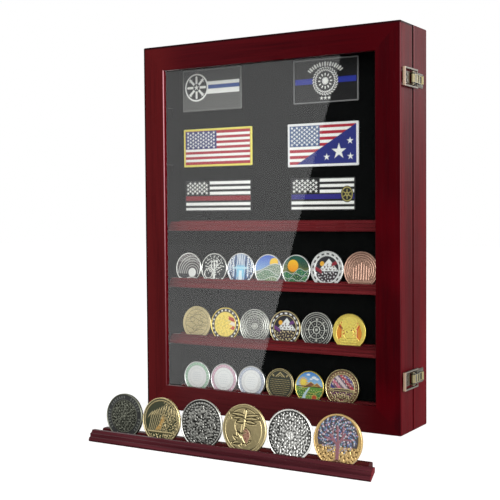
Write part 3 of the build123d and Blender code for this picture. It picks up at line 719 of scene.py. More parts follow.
# Along the latch: the lever's flanks are dark as painted shade, its face and pin are pale, a black painted
# shadow marks its step and the hook's front, the hook's ridges get a painted highlight and shadow, the bail's
# bar a painted highlight, and the sunk panels are darker.
panel_tone, step_shadow_tone = (62, 56, 38), (6, 8, 4)
lever_front = -0.011
bail_bar_back = -0.0325
hook_front = -0.0317
latch_tones = {
    "latch_base": bronzed("bronzed_base", (66, 60, 44)),
    "latch_pin": bronzed("bronzed_pin", (150, 140, 110)),
    "latch_lever": bronzed("bronzed_lever", (26, 24, 14), [
        (lever_front - 0.003, lever_front - 0.0006, 0.0043, (116, 107, 74)),
        (lever_front - 0.0006, lever_front + 0.0256, 0.0043, (138, 127, 86)),
        (lever_front + 0.0012, lever_front + 0.0066, 0.0036, panel_tone),
        (lever_front + 0.0094, lever_front + 0.0114, 0.02, step_shadow_tone),
        (lever_front + 0.0146, lever_front + 0.0232, 0.0036, panel_tone)]),
    "latch_bail": bronzed("bronzed_bail", (84, 77, 64), [
        (-0.05, bail_bar_back, 0.02, (142, 118, 96))]),
    "latch_hook": bronzed("bronzed_hook", (80, 72, 54), [
        (hook_front - 0.0006, hook_front + 0.002, 0.02, (10, 9, 7)),
        (hook_front + 0.0066, hook_front + 0.0086, 0.02, (104, 98, 92)),
        (hook_front + 0.0106, hook_front + 0.0126, 0.02, (40, 36, 32))]),
}
for fitting, tones in latch_tones.items():
    dress("upper_" + fitting, tones)
    dress("lower_" + fitting, tones)
dress("latch_hook_screws", latch_tones["latch_hook"])


# The coins. Each is a 3 mm blank of brass or zinc alloy, struck with a rim, a sunk field and
# raised lines, then plated, with soft enamel in some of the hollows. They stand in the grooves.
coin_thick = 0.003
coin_rim = 0.0012
coin_sunk = 0.0005
coin_edge = 0.0003
coin_soft = 0.035
coin_lean = math.radians(5.5)
enamel_shade = 0.8
groove_foot = (0.0096, 0.00505)
fitted_y, loose_y = 0.002, -0.2127
golden_turn = 2.39996
white = (236, 238, 236)


def leaf(x, y, stem, turn, length, half):
    """The distance to a pointed leaf that grows from a stem at an angle."""
    across, along = math.cos(turn), math.sin(turn)
    out = (x - stem[0]) * across + (y - stem[1]) * along
    off = (y - stem[1]) * across - (x - stem[0]) * along
    share = np.clip(out / length, 0.0, 1.0)
    return both(abs(off) - half * np.sin(math.pi * share ** 0.8), abs(out - length / 2) - length / 2)


def lobes(x, y, count, reach, swing, middle=(0.0, 0.0)):
    """The distance to a flower-like outline."""
    angle = np.arctan2(y - middle[1], x - middle[0])
    return disc(x, y, middle, reach) - swing * np.cos(count * angle)


def strip(x, y, level, half, wide):
    """The distance to a level strip across the middle."""
    return both(abs(y - level) - half, abs(x) - wide)


def speckled(x, y, within, fine, start, level, spread):
    """The distance to uneven close marks inside an outline, for work too close to follow."""
    total = 0.0
    for step in range(7):
        turn = start + 2.4 * step
        run = x * math.cos(turn) + y * math.sin(turn)
        total = total + np.sin(1.5 * fine * (1.0 + 0.11 * step) * run + 5.0 * turn)
    return both((level - total / 3.0) / spread, within)


def fleck(face, within, fine, start, level, height, colour=None):
    """Uneven close marks inside an outline, of bare metal or enamel."""
    face.marked(speckled(face.x, face.y, within, fine, start, level, fine), height, None, colour)


def beads(face, count, reach, size, height, edge=None, turn=0.0, colour=None):
    """Dots round the middle, of bare metal or enamel."""
    for across, up, _ in around(count, reach, turn):
        face.marked(disc(face.x, face.y, (across, up), size), height, edge, colour)


def fronds(face, count, reach, lean, length, half, height, edge=None, turn=0.0):
    """Leaves round the middle, each turned from its ray by a lean."""
    for across, up, angle in around(count, reach, turn):
        face.raised(leaf(face.x, face.y, (across, up), angle + lean, length, half), height, edge)


def slope(face, crest, colour, height, line, top, edge=None):
    """Enamel below a crest, with a metal line on it."""
    face.laid(face.y - crest, colour, height)
    face.raised(abs(face.y - crest) - line, top, edge)


def fade(low, high, first, second):
    """A colour that changes from one height on the face to another."""
    first, second = np.array(paint(*first)[:3]), np.array(paint(*second)[:3])
    return lambda x, y: first + (second - first) * np.clip((y - low) / (high - low), 0.0, 1.0)[..., None]


def moonlit(face, x, y):
    """Dark enamel, a white disc low on the right, and silver arcs round it."""
    face.laid(disc(x, y), fade(-0.6, 0.8, (26, 24, 30), (84, 66, 72)))
    for step in range(5):
        face.raised(both(ring(x, y, 0.44 + 0.16 * step, 0.035, (0.3, -0.3)), -0.4 - y), 0.5)
    fleck(face, 0.4 - y, 30.0, 1.0, 0.3, 0.6)
    face.laid(disc(x, y, (0.3, -0.3), 0.3), (250, 250, 246), 0.5)
    face.raised(abs(y + 0.68 - 0.07 * np.sin(5 * x)) - 0.05, 0.9)


def grow_tree(face, trunk, tones, count, middle_up, reach, size, bark=None):
    """A tree with forked boughs and a round crown of small leaves."""
    x, y = face.x, face.y
    for step in range(count):
        turn = step * golden_turn
        out = reach * math.sqrt((step + 0.5) / count)
        place = (out * math.cos(turn), middle_up + 0.86 * out * math.sin(turn))
        foliage = leaf(x, y, place, turn * 1.7, size * 2.1, size * 0.62)
        if tones:
            face.laid(foliage, tones[step % len(tones)], 0.55, 0.03)
        else:
            face.raised(foliage, 0.75, 0.03)
    for start, end, half in (
            ((0.0, -0.7), (0.02, -0.12), 0.075), ((0.02, -0.2), (-0.3, 0.22), 0.04),
            ((0.02, -0.12), (0.3, 0.28), 0.042), ((0.02, -0.1), (-0.02, 0.5), 0.04),
            ((-0.14, 0.0), (-0.52, 0.1), 0.028), ((0.16, 0.06), (0.55, 0.08), 0.028),
            ((-0.2, 0.1), (-0.2, 0.52), 0.022), ((0.2, 0.14), (0.22, 0.56), 0.022),
            ((0.0, -0.66), (-0.24, -0.84), 0.035), ((0.0, -0.66), (0.24, -0.84), 0.035)):
        face.marked(stroke(x, y, start, end, half), trunk, 0.03, bark)


def leafy_tree(face, x, y):
    """A silver tree on black."""
    face.laid(disc(x, y), (22, 24, 26), 0.05)
    grow_tree(face, 0.85, None, 92, 0.2, 0.74, 0.056)
    face.raised(both(ring(x, y, 0.3, 0.035, (-0.42, -0.34)), -0.66 - y), 0.95)
    fleck(face, y + 0.6, 26.0, 2.0, 0.2, 0.9)


def cascade(face, x, y):
    """Falling water between dark and pale rocks, brightest in the middle."""
    face.laid(disc(x, y), fade(-0.9, 0.8, (60, 116, 176), (120, 140, 176)), 0.1)
    for step in range(-7, 8):
        bend = 0.13 * step + 0.03 * np.sin(6 * y + step)
        face.laid(abs(x - bend) - 0.03, (28, 40, 74) if step % 2 and abs(step) > 2 else (236, 242, 246), 0.35)
    face.laid(strip(x, y, -0.15, 0.34, 0.26), (120, 206, 240), 0.3, 0.2)
    face.laid(both(abs(x) - 0.12, y + 0.1), (232, 248, 252), 0.35, 0.1)
    # A pale level strip across the middle: a painted glare.
    face.laid(strip(x, y, 0.05, 0.06, 0.6), (196, 234, 248), 0.35, 0.1)
    fleck(face, 0.46 - abs(x), 24.0, 0.4, 0.35, 0.8)
    face.laid(both(ring(x, y, 0.8, 0.05), y + 0.2), (40, 50, 84), 0.3)


def sunny_fields(face, x, y):
    """A yellow sun over speckled green slopes."""
    face.laid(disc(x, y), fade(-0.1, 0.9, (150, 186, 226), (62, 100, 200)), 0.1)
    face.laid(disc(x, y, (0.42, 0.46), 0.31), (250, 204, 56), 0.4)
    for level, swing, speed, start, colour in ((0.16, 0.24, 2.2, 0.4, (142, 160, 142)),
                                               (-0.18, 0.2, 3.0, 1.9, (96, 140, 108)),
                                               (-0.54, 0.12, 4.1, 0.2, (118, 150, 96))):
        crest = level + swing * np.sin(speed * x + start)
        slope(face, crest, colour, 0.25, 0.02, 0.8)
        fleck(face, y - crest + 0.06, 26.0, start, 0.45, 0.35, (226, 226, 210))
        fleck(face, y - crest + 0.06, 22.0, start + 1.0, 0.5, 0.35, (52, 92, 66))


def sunset_waves(face, x, y):
    """An orange sun over dark green, flecked water."""
    face.laid(disc(x, y), fade(-0.2, 0.6, (120, 116, 44), (10, 80, 64)), 0.1)
    face.laid(disc(x, y, (-0.22, 0.3), 0.38), fade(-0.1, 0.7, (240, 146, 20), (250, 196, 46)), 0.45)
    for step, colour in enumerate([(16, 104, 78), (8, 66, 50), (30, 104, 66), (8, 54, 42)]):
        crest = -0.04 - 0.26 * step + 0.12 * np.sin(6.5 * x + 1.7 * step) + 0.2 * x
        face.laid(y - crest, colour, 0.3)
        fleck(face, y - crest + 0.05, 22.0, 1.3 * step, 0.6, 0.35, (150, 190, 120))
        face.raised(abs(y - crest) - 0.014, 0.8)
    fleck(face, disc(x, y, (0.62, 0.5), 0.34), 24.0, 2.0, 0.0, 0.3, (6, 60, 50))


def snowy_peak(face, x, y, ground=None, marks=(34, 32, 36), ribbon=(146, 24, 44), light=(236, 236, 238)):
    """A white peak over dark slopes with a ribbon, in a ring of marks."""
    if ground:
        face.laid(ring(x, y, 0.85, 0.12), ground, 0.05)
    else:
        face.height[:] = 0.85
    for across, up, turn in around(17, 0.84):
        tip = (across - 0.09 * math.sin(turn), up + 0.09 * math.cos(turn))
        face.laid(stroke(x, y, (across, up), tip, 0.045), marks, 0.5)
    within = disc(x, y, reach=0.72)
    face.laid(within, fade(-0.6, 0.7, (44, 28, 36), (30, 30, 38)), 0.1)
    peak = both(y - 0.58 + 1.1 * abs(x - 0.1), within, -0.1 - y)
    face.laid(peak, white, 0.5)
    fleck(face, both(peak + 0.05, y - 0.3), 20.0, 0.6, 0.35, 0.6, (88, 66, 62))
    fleck(face, both(within, y + 0.1), 20.0, 1.6, 0.6, 0.5, light)
    for side, lift in ((-1, 0.0), (1, 0.4)):
        band = abs(y - lift + 0.3 - 0.5 * side * x) - 0.1
        face.laid(both(band, within, 0.3 - side * x), ribbon, 0.6)
    face.laid(disc(x, y, (-0.3, 0.3), 0.13), (238, 176, 50), 0.6)
    face.raised(ring(x, y, 0.73, 0.02), 0.8)


def columns(face, x, y):
    """Upright flutes under arches, in worn copper."""
    face.height[:] = 0.5
    fleck(face, disc(x, y, reach=0.9), 26.0, 0.2, 0.1, 0.75)
    for step in range(-3, 4):
        across, top = 0.15 * step, 0.4 - 0.09 * abs(step)
        face.cut(stroke(x, y, (across + 0.07, -0.5), (across + 0.07, top), 0.02))
        face.raised(stroke(x, y, (across, -0.5), (across, top), 0.04), 1.0, 0.08)
    for reach in (0.6, 0.72, 0.84):
        face.raised(both(ring(x, y, reach, 0.02), -0.4 - y), 1.0)
        face.cut(both(ring(x, y, reach + 0.05, 0.012), -0.4 - y), 0.1)
    face.raised(strip(x, y, -0.62, 0.06, 0.62), 0.9)


def swells(face, x, y):
    """Rolling waves in low relief, in pale antique gold."""
    face.height[:] = 0.7
    fleck(face, disc(x, y), 28.0, 0.7, 0.2, 1.0)
    for step in range(6):
        crest = 0.6 - 0.22 * step + 0.12 * np.sin(4.2 * x + 1.3 * step)
        face.cut(both(abs(y - crest) - 0.012, disc(x, y, reach=0.78)), 0.15)
    for place in ((-0.3, 0.2), (0.26, 0.02), (-0.12, -0.34), (0.34, 0.4)):
        face.cut(ring(x, y, 0.15, 0.012, place), 0.15)
    face.cut(ring(x, y, 0.8, 0.012), 0.2)


def sunburst(face, x, y):
    """A gold sun with rays, in a black ring of white marks, with red and white bands."""
    face.height[:] = 0.9
    face.laid(ring(x, y, 0.84, 0.12), (30, 26, 24), 0.1)
    beads(face, 20, 0.84, 0.055, 0.45, colour=(250, 246, 230))
    for step, colour in enumerate([(186, 60, 44), (246, 232, 214), (206, 70, 44)]):
        band = abs(0.3 * x + y - 0.46 + 0.24 * step) - 0.11
        face.laid(both(disc(x, y, reach=0.7), 0.2 - x, band), colour, 0.2)
    middle = (-0.12, -0.1)
    sun = lobes(x, y, 12, 0.54, 0.08, middle)
    face.raised(sun, 1.0, 0.06)
    fleck(face, sun, 16.0, 0.3, 0.3, 1.0, (252, 222, 96))
    face.cut(ring(x, y, 0.26, 0.014, middle), 0.3)
    face.raised(ring(x, y, 0.72, 0.02), 1.0)


def lathe_turned(face, x, y):
    """A fine rosette in rings, as turned on an engraver's lathe."""
    out, angle = np.hypot(x, y), np.arctan2(y, x)
    face.height = 0.33 + 0.28 * np.sin(36 * out + 2.6 * np.cos(9 * angle))
    face.height = face.height + 0.22 * np.sin(36 * out - 2.6 * np.cos(9 * angle))
    for reach in (0.18, 0.6, 0.74, 0.86):
        face.raised(ring(x, y, reach, 0.02), 1.0)
        face.cut(ring(x, y, reach + 0.045, 0.014))
    face.raised(lobes(x, y, 6, 0.09, 0.03), 1.0)


def dusky_peak(face, x, y):
    """The peak again, in brown and purple on a dark ring."""
    snowy_peak(face, x, y, (40, 28, 36), white, (104, 54, 120), (214, 196, 150))


def wheel(face, x, y):
    """A black ground with silver rings and eight spokes."""
    face.laid(disc(x, y), (16, 17, 19), 0.05)
    for reach, half in ((0.86, 0.02), (0.74, 0.022), (0.5, 0.03), (0.2, 0.03)):
        face.raised(ring(x, y, reach, half), 0.75)
    for across, up, turn in around(8, 0.2):
        face.raised(stroke(x, y, (across, up), (across * 2.4, up * 2.4), 0.022), 0.7)
        face.raised(leaf(x, y, (across * 2.55, up * 2.55), turn, 0.17, 0.05), 0.7)
    beads(face, 28, 0.63, 0.032, 0.6, 0.04, 0.1)
    beads(face, 8, 0.35, 0.035, 0.6, 0.04, 0.39)
    face.raised(disc(x, y, reach=0.09), 0.9, 0.1)


def four_petals(face, x, y):
    """Broad gold petals over an orange and red ground."""
    face.height[:] = 0.85
    middle = (0.0, -0.1)
    for side in (-1, 1):
        face.laid(leaf(x, y, (0.5 * side, -0.55), math.pi / 2, 1.1, 0.26), (214, 60, 26), 0.1)
        face.laid(leaf(x, y, (0.62 * side, -0.4), math.pi / 2, 0.8, 0.12), (236, 150, 40), 0.2)
    for turn, length, half in ((90, 0.95, 0.36), (270, 0.95, 0.62), (45, 0.9, 0.1), (135, 0.9, 0.1)):
        face.raised(leaf(x, y, middle, math.radians(turn), length, half), 0.95)
    for turn in (57, 147):
        face.laid(leaf(x, y, middle, math.radians(turn), 0.94, 0.05), (120, 20, 16), 0.2)
    fleck(face, both(disc(x, y, reach=0.85), abs(x) - 0.46), 20.0, 0.4, -0.5, 0.9, (255, 232, 110))
    face.cut(ring(x, y, 0.3, 0.014, middle), 0.1)
    for level in (-0.36, -0.5, -0.64):
        face.cut(strip(x, y, level, 0.012, 0.5), 0.1)
    face.raised(ring(x, y, 0.87, 0.03), 1.0)


def pale_token(colour):
    """White enamel with fine grey rings, inside a tinted band. The colour is the band's."""
    def design(face, x, y):
        face.laid(disc(x, y), (254, 255, 254), 0.3)
        face.laid(ring(x, y, 0.84, 0.1), colour, 0.3)
        beads(face, 26, 0.84, 0.03, 0.4, colour=(244, 246, 246))
        for reach in (0.74, 0.56):
            face.raised(ring(x, y, reach, 0.014), 0.5, 0.03)
        for step in range(-2, 3):
            dash = strip(x, y, 0.14 * step, 0.022, 0.36 - 0.05 * abs(step))
            face.laid(both(dash, 0.045 - abs(np.sin(21 * x + step)) * 0.12), (228, 232, 234), 0.36, 0.03)
        beads(face, 16, 0.65, 0.02, 0.5, 0.03)
    return design


def ruled(face, x, y):
    """Olive enamel with fine ruled lines under a small peak."""
    face.laid(disc(x, y), (60, 62, 50), 0.1)
    for step in range(9):
        level = 0.3 - 0.125 * step
        line = strip(x, y, level, 0.018, math.sqrt(max(0.0, 0.62 - level * level)) * 0.9)
        face.raised(both(line, 0.03 - abs(np.sin(14 * x + 5 * step)) * 0.12), 0.85, 0.03)
    for side in (-1, 1):
        face.raised(stroke(x, y, (0.0, 0.74), (0.3 * side, 0.48), 0.035), 0.8)
        face.raised(stroke(x, y, (0.0, 0.6), (0.16 * side, 0.47), 0.025), 0.7)
        face.raised(leaf(x, y, (0.42 * side, 0.46), math.pi / 2 - 0.7 * side, 0.24, 0.06), 0.6)
    face.raised(ring(x, y, 0.87, 0.02), 0.8)


def valley(face, x, y):
    """A bright valley: sky, a rayed sun, brown hills, green meadows and a stream."""
    face.laid(disc(x, y), fade(0.0, 0.9, (176, 218, 244), (66, 138, 214)), 0.1)
    for across, up, size in ((0.3, 0.6, 0.16), (0.5, 0.52, 0.13), (-0.1, 0.76, 0.12), (0.1, 0.5, 0.1)):
        face.laid(np.hypot(x - across, (y - up) * 2.0) - size, (246, 248, 250), 0.3)
    sun = (-0.42, 0.28)
    face.laid(lobes(x, y, 14, 0.27, 0.08, sun), (250, 200, 44), 0.35)
    face.laid(disc(x, y, sun, 0.17), (252, 226, 92), 0.5)
    for across, wide, tall, colour in ((0.1, 1.1, 0.34, (150, 92, 62)), (0.52, 1.2, 0.28, (176, 112, 74))):
        hill = y - tall + wide * abs(x - across) * 0.6
        face.laid(both(hill, -y - 0.4), colour, 0.4)
        face.raised(abs(hill) + np.maximum(0.0, -0.05 - y) - 0.02, 0.6)
    for level, swing, colour in ((0.02, 0.07, (104, 158, 62)), (-0.26, 0.1, (62, 132, 58)),
                                 (-0.56, 0.08, (126, 176, 74))):
        slope(face, level + swing * np.sin(4 * x + 9 * level), colour, 0.3, 0.014, 0.6, 0.035)
    fleck(face, both(y + 0.1, disc(x, y)), 24.0, 0.5, 0.6, 0.4, (36, 92, 44))
    fleck(face, both(y + 0.1, disc(x, y)), 24.0, 1.5, 0.7, 0.4, (220, 230, 150))
    face.laid(strip(x, y, 0.04, 0.03, 0.9), (60, 44, 40), 0.45)
    stream = abs(x + 0.12 - 0.24 * np.sin(3.2 * y + 0.6)) - 0.05 + 0.1 * y
    face.laid(both(stream, y + 0.02), (206, 232, 244), 0.5)
    face.laid(disc(x, y, (0.36, -0.62), 0.15), (214, 92, 58), 0.5)
    face.raised(ring(x, y, 0.18, 0.02, (0.36, -0.62)), 0.7)


def crossed_bands(face, x, y):
    """Blue, red and pink bands that cross in a beaded gold ring."""
    face.laid(ring(x, y, 0.83, 0.09), (132, 96, 70), 0.1)
    beads(face, 30, 0.83, 0.042, 0.75, 0.05)
    field = disc(x, y, reach=0.72)
    face.laid(field, fade(-0.6, 0.7, (120, 44, 62), (84, 84, 164)), 0.1)
    for step, colour in enumerate([(196, 58, 84), (236, 214, 222), (222, 122, 150), (64, 60, 140)]):
        band = abs(0.7 * x + 0.7 * y - 0.42 + 0.26 * step) - 0.09
        face.laid(both(band, field, -0.06 - y), colour, 0.3)
        face.raised(both(abs(band) - 0.014, field, -0.06 - y), 0.55, 0.035)
    fleck(face, both(field, y + 0.2), 22.0, 0.3, 0.2, 0.8)
    fleck(face, both(field, 0.1 - y), 22.0, 1.3, 0.6, 0.5, (250, 236, 230))
    sash = abs(y + 0.1 + 0.1 * x * x)
    face.raised(both(sash - 0.09, field), 0.9)
    face.laid(both(sash - 0.03, abs(x) - 0.5), (52, 40, 34), 0.5)
    for step in range(-3, 4):
        face.raised(leaf(x, y, (0.13 * step, -0.6), math.pi / 2, 0.4 - 0.05 * abs(step), 0.05), 0.7)
    face.raised(ring(x, y, 0.73, 0.025), 0.85)


def ruled_nickel(face, x, y):
    """A black rim with dull marks round a field of fine raying lines, in black nickel."""
    face.laid(ring(x, y, 0.84, 0.12), (22, 24, 22), 0.1)
    for across, up, turn in around(40, 0.84, 0.05):
        if turn % 1.3 > 0.25:
            dash = stroke(x, y, (across * 0.96, up * 0.96), (across * 1.05, up * 1.05), 0.018)
            face.laid(dash, (104, 108, 100), 0.3)
    field = disc(x, y, reach=0.68)
    rays = np.sin(38 * np.arctan2(y + 0.3, x - 0.1)) * 0.5 + 0.5
    face.height = face.height + 0.5 * rays * face.inside(field, None)
    fleck(face, field, 24.0, 0.8, 0.35, 0.8)
    for start, end in (((-0.5, -0.3), (0.56, 0.34)), ((-0.3, -0.46), (0.1, 0.5)), ((0.1, -0.5), (0.5, 0.1))):
        face.raised(stroke(x, y, start, end, 0.025), 0.9, 0.06)
    face.raised(disc(x, y, (0.04, -0.02), 0.08), 1.0, 0.1)
    face.raised(ring(x, y, 0.71, 0.018), 0.7)


def reeds(face, x, y):
    """Gold reeds that lean across dark green enamel, over a band of water."""
    face.laid(disc(x, y), fade(-0.4, 0.8, (34, 42, 16), (46, 50, 28)), 0.1)
    fleck(face, 0.1 - x, 26.0, 0.4, 0.5, 0.8)
    for step in range(-5, 6):
        foot, tip = (0.09 * step - 0.2, -0.46), (0.13 * step + 0.16, 0.72 - 0.06 * abs(step - 1))
        face.raised(stroke(x, y, foot, tip, 0.016), 0.75)
        face.raised(leaf(x, y, tip, -1.9 + 0.07 * step, 0.4, 0.028), 0.8)
    for step in range(3):
        blade = leaf(x, y, (-0.3 + 0.12 * step, -0.46), 0.8 + 0.28 * step, 0.8, 0.05)
        face.laid(blade, (164, 126, 60), 0.5)
    fleck(face, both(-0.1 - x, abs(y + 0.1) - 0.4), 24.0, 2.4, 0.7, 0.9)
    face.raised(both(abs(y + 0.5) - 0.03, disc(x, y, reach=0.86)), 0.95)
    fleck(face, y + 0.58, 22.0, 1.1, 0.35, 0.9)
    face.raised(ring(x, y, 0.87, 0.03), 0.6)


def scrollwork(face, x, y):
    """Curling leaves round a rosette, in a beaded ring, in antique silver."""
    beads(face, 44, 0.85, 0.045, 0.75, 0.06)
    for across, up, turn in around(8, 0.26):
        face.raised(leaf(x, y, (across, up), turn + 0.5, 0.5, 0.1), 0.6, 0.12)
        face.cut(stroke(x, y, (across, up), (across * 2.5, up * 2.5), 0.012), 0.3, 0.04)
        curl = (across * 2.1 - 0.07 * up, up * 2.1 + 0.07 * across)
        face.raised(ring(x, y, 0.1, 0.026, curl), 0.75, 0.05)
    fronds(face, 16, 0.5, -1.0, 0.26, 0.05, 0.7, 0.07, 0.2)
    fronds(face, 24, 0.68, 1.3, 0.16, 0.035, 0.6, 0.05, 0.1)
    face.raised(lobes(x, y, 8, 0.17, 0.035), 0.8, 0.08)
    face.cut(ring(x, y, 0.1, 0.012), 0.3, 0.04)
    within = disc(x, y, reach=0.8)
    fleck(face, within, 26.0, 0.9, 0.45, 0.75)
    face.cut(speckled(x, y, within, 22.0, 2.2, 0.75, 14.0), 0.05)


def palmette(face, x, y):
    """A leaning stem with level fronds and a copper bud, on pale antique gold."""
    face.height[:] = 0.8
    fleck(face, disc(x, y, reach=0.88), 24.0, 0.4, 0.5, 0.9)
    face.cut(ring(x, y, 0.84, 0.012), 0.1)
    growth = [stroke(x, y, (0.06, 0.74), (-0.12, -0.62), 0.035)]
    for step, lean, reach in ((0, 8, 0.66), (1, 2, 0.6), (2, -6, 0.46),
                              (0, 174, 0.72), (1, 180, 0.6), (2, 188, 0.42)):
        growth.append(leaf(x, y, (0.06, 0.52 - 0.1 * step), math.radians(lean), reach, 0.05))
    for lean in (150, 190, 118, 8, 38, 70):
        growth.append(leaf(x, y, (-0.1, -0.5), math.radians(lean), 0.42, 0.06))
    for shape in growth:
        face.cut(shape - 0.035, 0.08)
    for shape in growth:
        face.raised(shape, 1.0)
    bud = leaf(x, y, (0.1, 0.06), math.radians(-86), 0.62, 0.17)
    face.cut(bud - 0.035, 0.08)
    face.laid(bud, (146, 108, 88), 0.9)
    fleck(face, bud, 24.0, 1.2, 0.4, 0.95, (104, 64, 50))
    face.cut(both(ring(x, y, 0.3, 0.018, (-0.1, 0.14)), x - 0.1), 0.08)


def braided(face, x, y):
    """A bright braid round a rayed rosette."""
    out, angle = np.hypot(x, y), np.arctan2(y, x)
    for swing in (0.0, math.pi):
        face.raised(abs(out - 0.7 - 0.075 * np.cos(11 * angle + swing)) - 0.035, 0.52, 0.07)
    beads(face, 40, 0.87, 0.028, 0.6, 0.04)
    fronds(face, 12, 0.2, 0.0, 0.36, 0.07, 0.56, 0.09)
    fronds(face, 12, 0.3, 0.0, 0.24, 0.035, 0.45, 0.05, math.pi / 12)
    for across, up, _ in around(12, 0.56, math.pi / 12):
        face.raised(ring(x, y, 0.045, 0.014, (across, up)), 0.6, 0.03)
    face.raised(disc(x, y, reach=0.17), 0.9, 0.16)
    face.cut(lobes(x, y, 5, 0.07, 0.02), 0.5, 0.05)
    fleck(face, disc(x, y, reach=0.84), 26.0, 0.6, 0.5, 0.8)
    face.cut(speckled(x, y, disc(x, y, reach=0.82), 24.0, 1.4, 0.8, 24.0), 0.1)


def blossom_tree(face, x, y):
    """A tree with blue, white, pink and teal leaves over speckled gold ground."""
    face.height[:] = 0.6
    face.laid(both(disc(x, y, (0.0, 0.1), 0.84), -0.2 - y), (48, 42, 48), 0.1)
    fleck(face, y + 0.2, 24.0, 0.4, 0.2, 1.0)
    face.cut(speckled(x, y, y + 0.2, 22.0, 1.7, 0.5, 14.0), 0.1)
    tones = [(104, 124, 170), (208, 206, 206), (178, 132, 150),
             (92, 136, 150), (66, 76, 124), (160, 160, 172)]
    grow_tree(face, 0.7, tones, 300, 0.22, 0.8, 0.036, (122, 76, 84))
    for side in (-1, 1):
        for step in range(3):
            face.cut(stroke(x, y, (0.0, -0.7), (side * (0.16 + 0.12 * step), -0.86), 0.016), 0.0, 0.04)


def struck_metal(name, bright, dark, rough, stain=0.55):
    """Struck and plated metal: dark in its hollows, bright on the relief, with soft enamel."""
    finish = Finish(name + "_plate")
    relief = finish.amount("Attribute", "Fac", {"attribute_name": "relief"})
    cover = finish.amount("Attribute", "Fac", {"attribute_name": "cover"})
    enamel = finish.node("Attribute", {"attribute_name": "enamel"}).outputs["Color"]
    mottled = finish.cloud(900.0, 4.0)
    polish = (relief + mottled * 0.3 - 0.15).above(0.0, stain)
    metal = finish.blend(polish * 0.9 + finish.cloud(140.0, 2.0) * 0.1, dark, bright)
    return finish.surface({
        "Base Color": finish.blend(cover, metal, enamel),
        "Metallic": 1.0 - cover,
        "Roughness": rough + mottled * 0.16 + cover * 0.05,
        "Normal": finish.relief(mottled, 0.00002),
    })


bright_silver = struck_metal("bright_silver", (246, 246, 244), (80, 80, 82), 0.22)
antique_silver = struck_metal("antique_silver", (206, 206, 198), (26, 26, 26), 0.28, 0.8)
worn_silver = struck_metal("worn_silver", (244, 244, 238), (34, 34, 34), 0.24, 0.78)
black_nickel = struck_metal("black_nickel", (128, 130, 116), (28, 30, 26), 0.28, 0.9)
bright_gold = struck_metal("bright_gold", (255, 228, 116), (156, 110, 36), 0.26)
antique_gold = struck_metal("antique_gold", (226, 208, 156), (58, 48, 26), 0.28, 0.85)
warm_gold = struck_metal("warm_gold", (196, 166, 112), (74, 52, 28), 0.28, 0.9)
antique_copper = struck_metal("antique_copper", (192, 154, 136), (74, 46, 38), 0.32, 0.95)


def strike(name, diameter, middle, design, cells):
    """A coin struck from a round blank, with its design on the front, leaning back."""
    radius = diameter / 2
    blank = bmesh.new()
    bmesh.ops.create_grid(blank, x_segments=cells, y_segments=cells, size=1.0)
    flat = radius - coin_edge
    for vert in blank.verts:
        x, y = vert.co.x, vert.co.y
        vert.co = (flat * x * math.sqrt(1 - y * y / 2), flat * y * math.sqrt(1 - x * x / 2), 0.0)
    struck = len(blank.verts)
    loop = open_edges(blank.edges)
    for reach, level in ((radius, coin_thick / 2 - coin_edge), (radius, coin_edge - coin_thick / 2),
                         (flat, -coin_thick / 2), (radius - coin_rim, -coin_thick / 2),
                         (radius - coin_rim, coin_sunk - coin_thick / 2)):
        grown = bmesh.ops.extrude_edge_only(blank, edges=loop)["geom"]
        for vert in grown:
            if isinstance(vert, bmesh.types.BMVert):
                out = Vector((vert.co.x, vert.co.y, 0.0)).normalized() * reach
                vert.co = (out.x, out.y, level)
        loop = open_edges(grown)
    back = bmesh.ops.holes_fill(blank, edges=loop, sides=0)["faces"]
    for inward, depth in ((radius * 0.2, 0.0), (0.0005, 0.0003), (radius * 0.1, 0.0), (0.0005, -0.0003)):
        bmesh.ops.inset_region(blank, faces=back, thickness=inward, depth=depth)
    bmesh.ops.recalc_face_normals(blank, faces=blank.faces)
    mesh = mesh_of(name, blank)

    places = points_of(mesh)
    face = Face(places[:struck] / radius, coin_soft)
    design(face, face.x, face.y)
    face.raised((1.0 - coin_rim / radius) - np.hypot(face.x, face.y), 1.0, 0.03)
    places[:struck, 2] = coin_thick / 2 - coin_sunk + coin_sunk * face.height
    others = len(places) - struck
    enamel = np.ones((len(places), 4))
    enamel[:struck, :3] = face.colour * enamel_shade
    lean = Matrix.Rotation(-coin_lean, 4, "X") @ Matrix.Rotation(math.radians(90), 4, "X")
    finish_mesh(mesh, places, 50, Matrix.Translation(middle) @ lean,
                relief=np.append(face.height, np.full(others, 0.8)),
                cover=np.append(face.cover, np.zeros(others)), enamel=enamel)
    return mesh


def stand_row(names, slots, coins, start, gap, shelf_y, level, cells, body, replaced):
    """Coins side by side in a shelf's groove. Each is its diameter, design and metal."""
    for name, slot, (diameter, design, metal) in zip(names, slots, coins):
        radius = diameter / 2
        y = shelf_y + groove_foot[0] + coin_thick / 2 * math.cos(coin_lean) + radius * math.sin(coin_lean)
        z = level + groove_foot[1] + radius * math.cos(coin_lean) + coin_thick / 2 * math.sin(coin_lean)
        mesh = strike(name, diameter, (start + radius, y, z), design, cells)
        new_piece(name, mesh, metal, body, replaced or name.replace("struck_", ""))
        "coin_" + slot
        start += diameter + gap


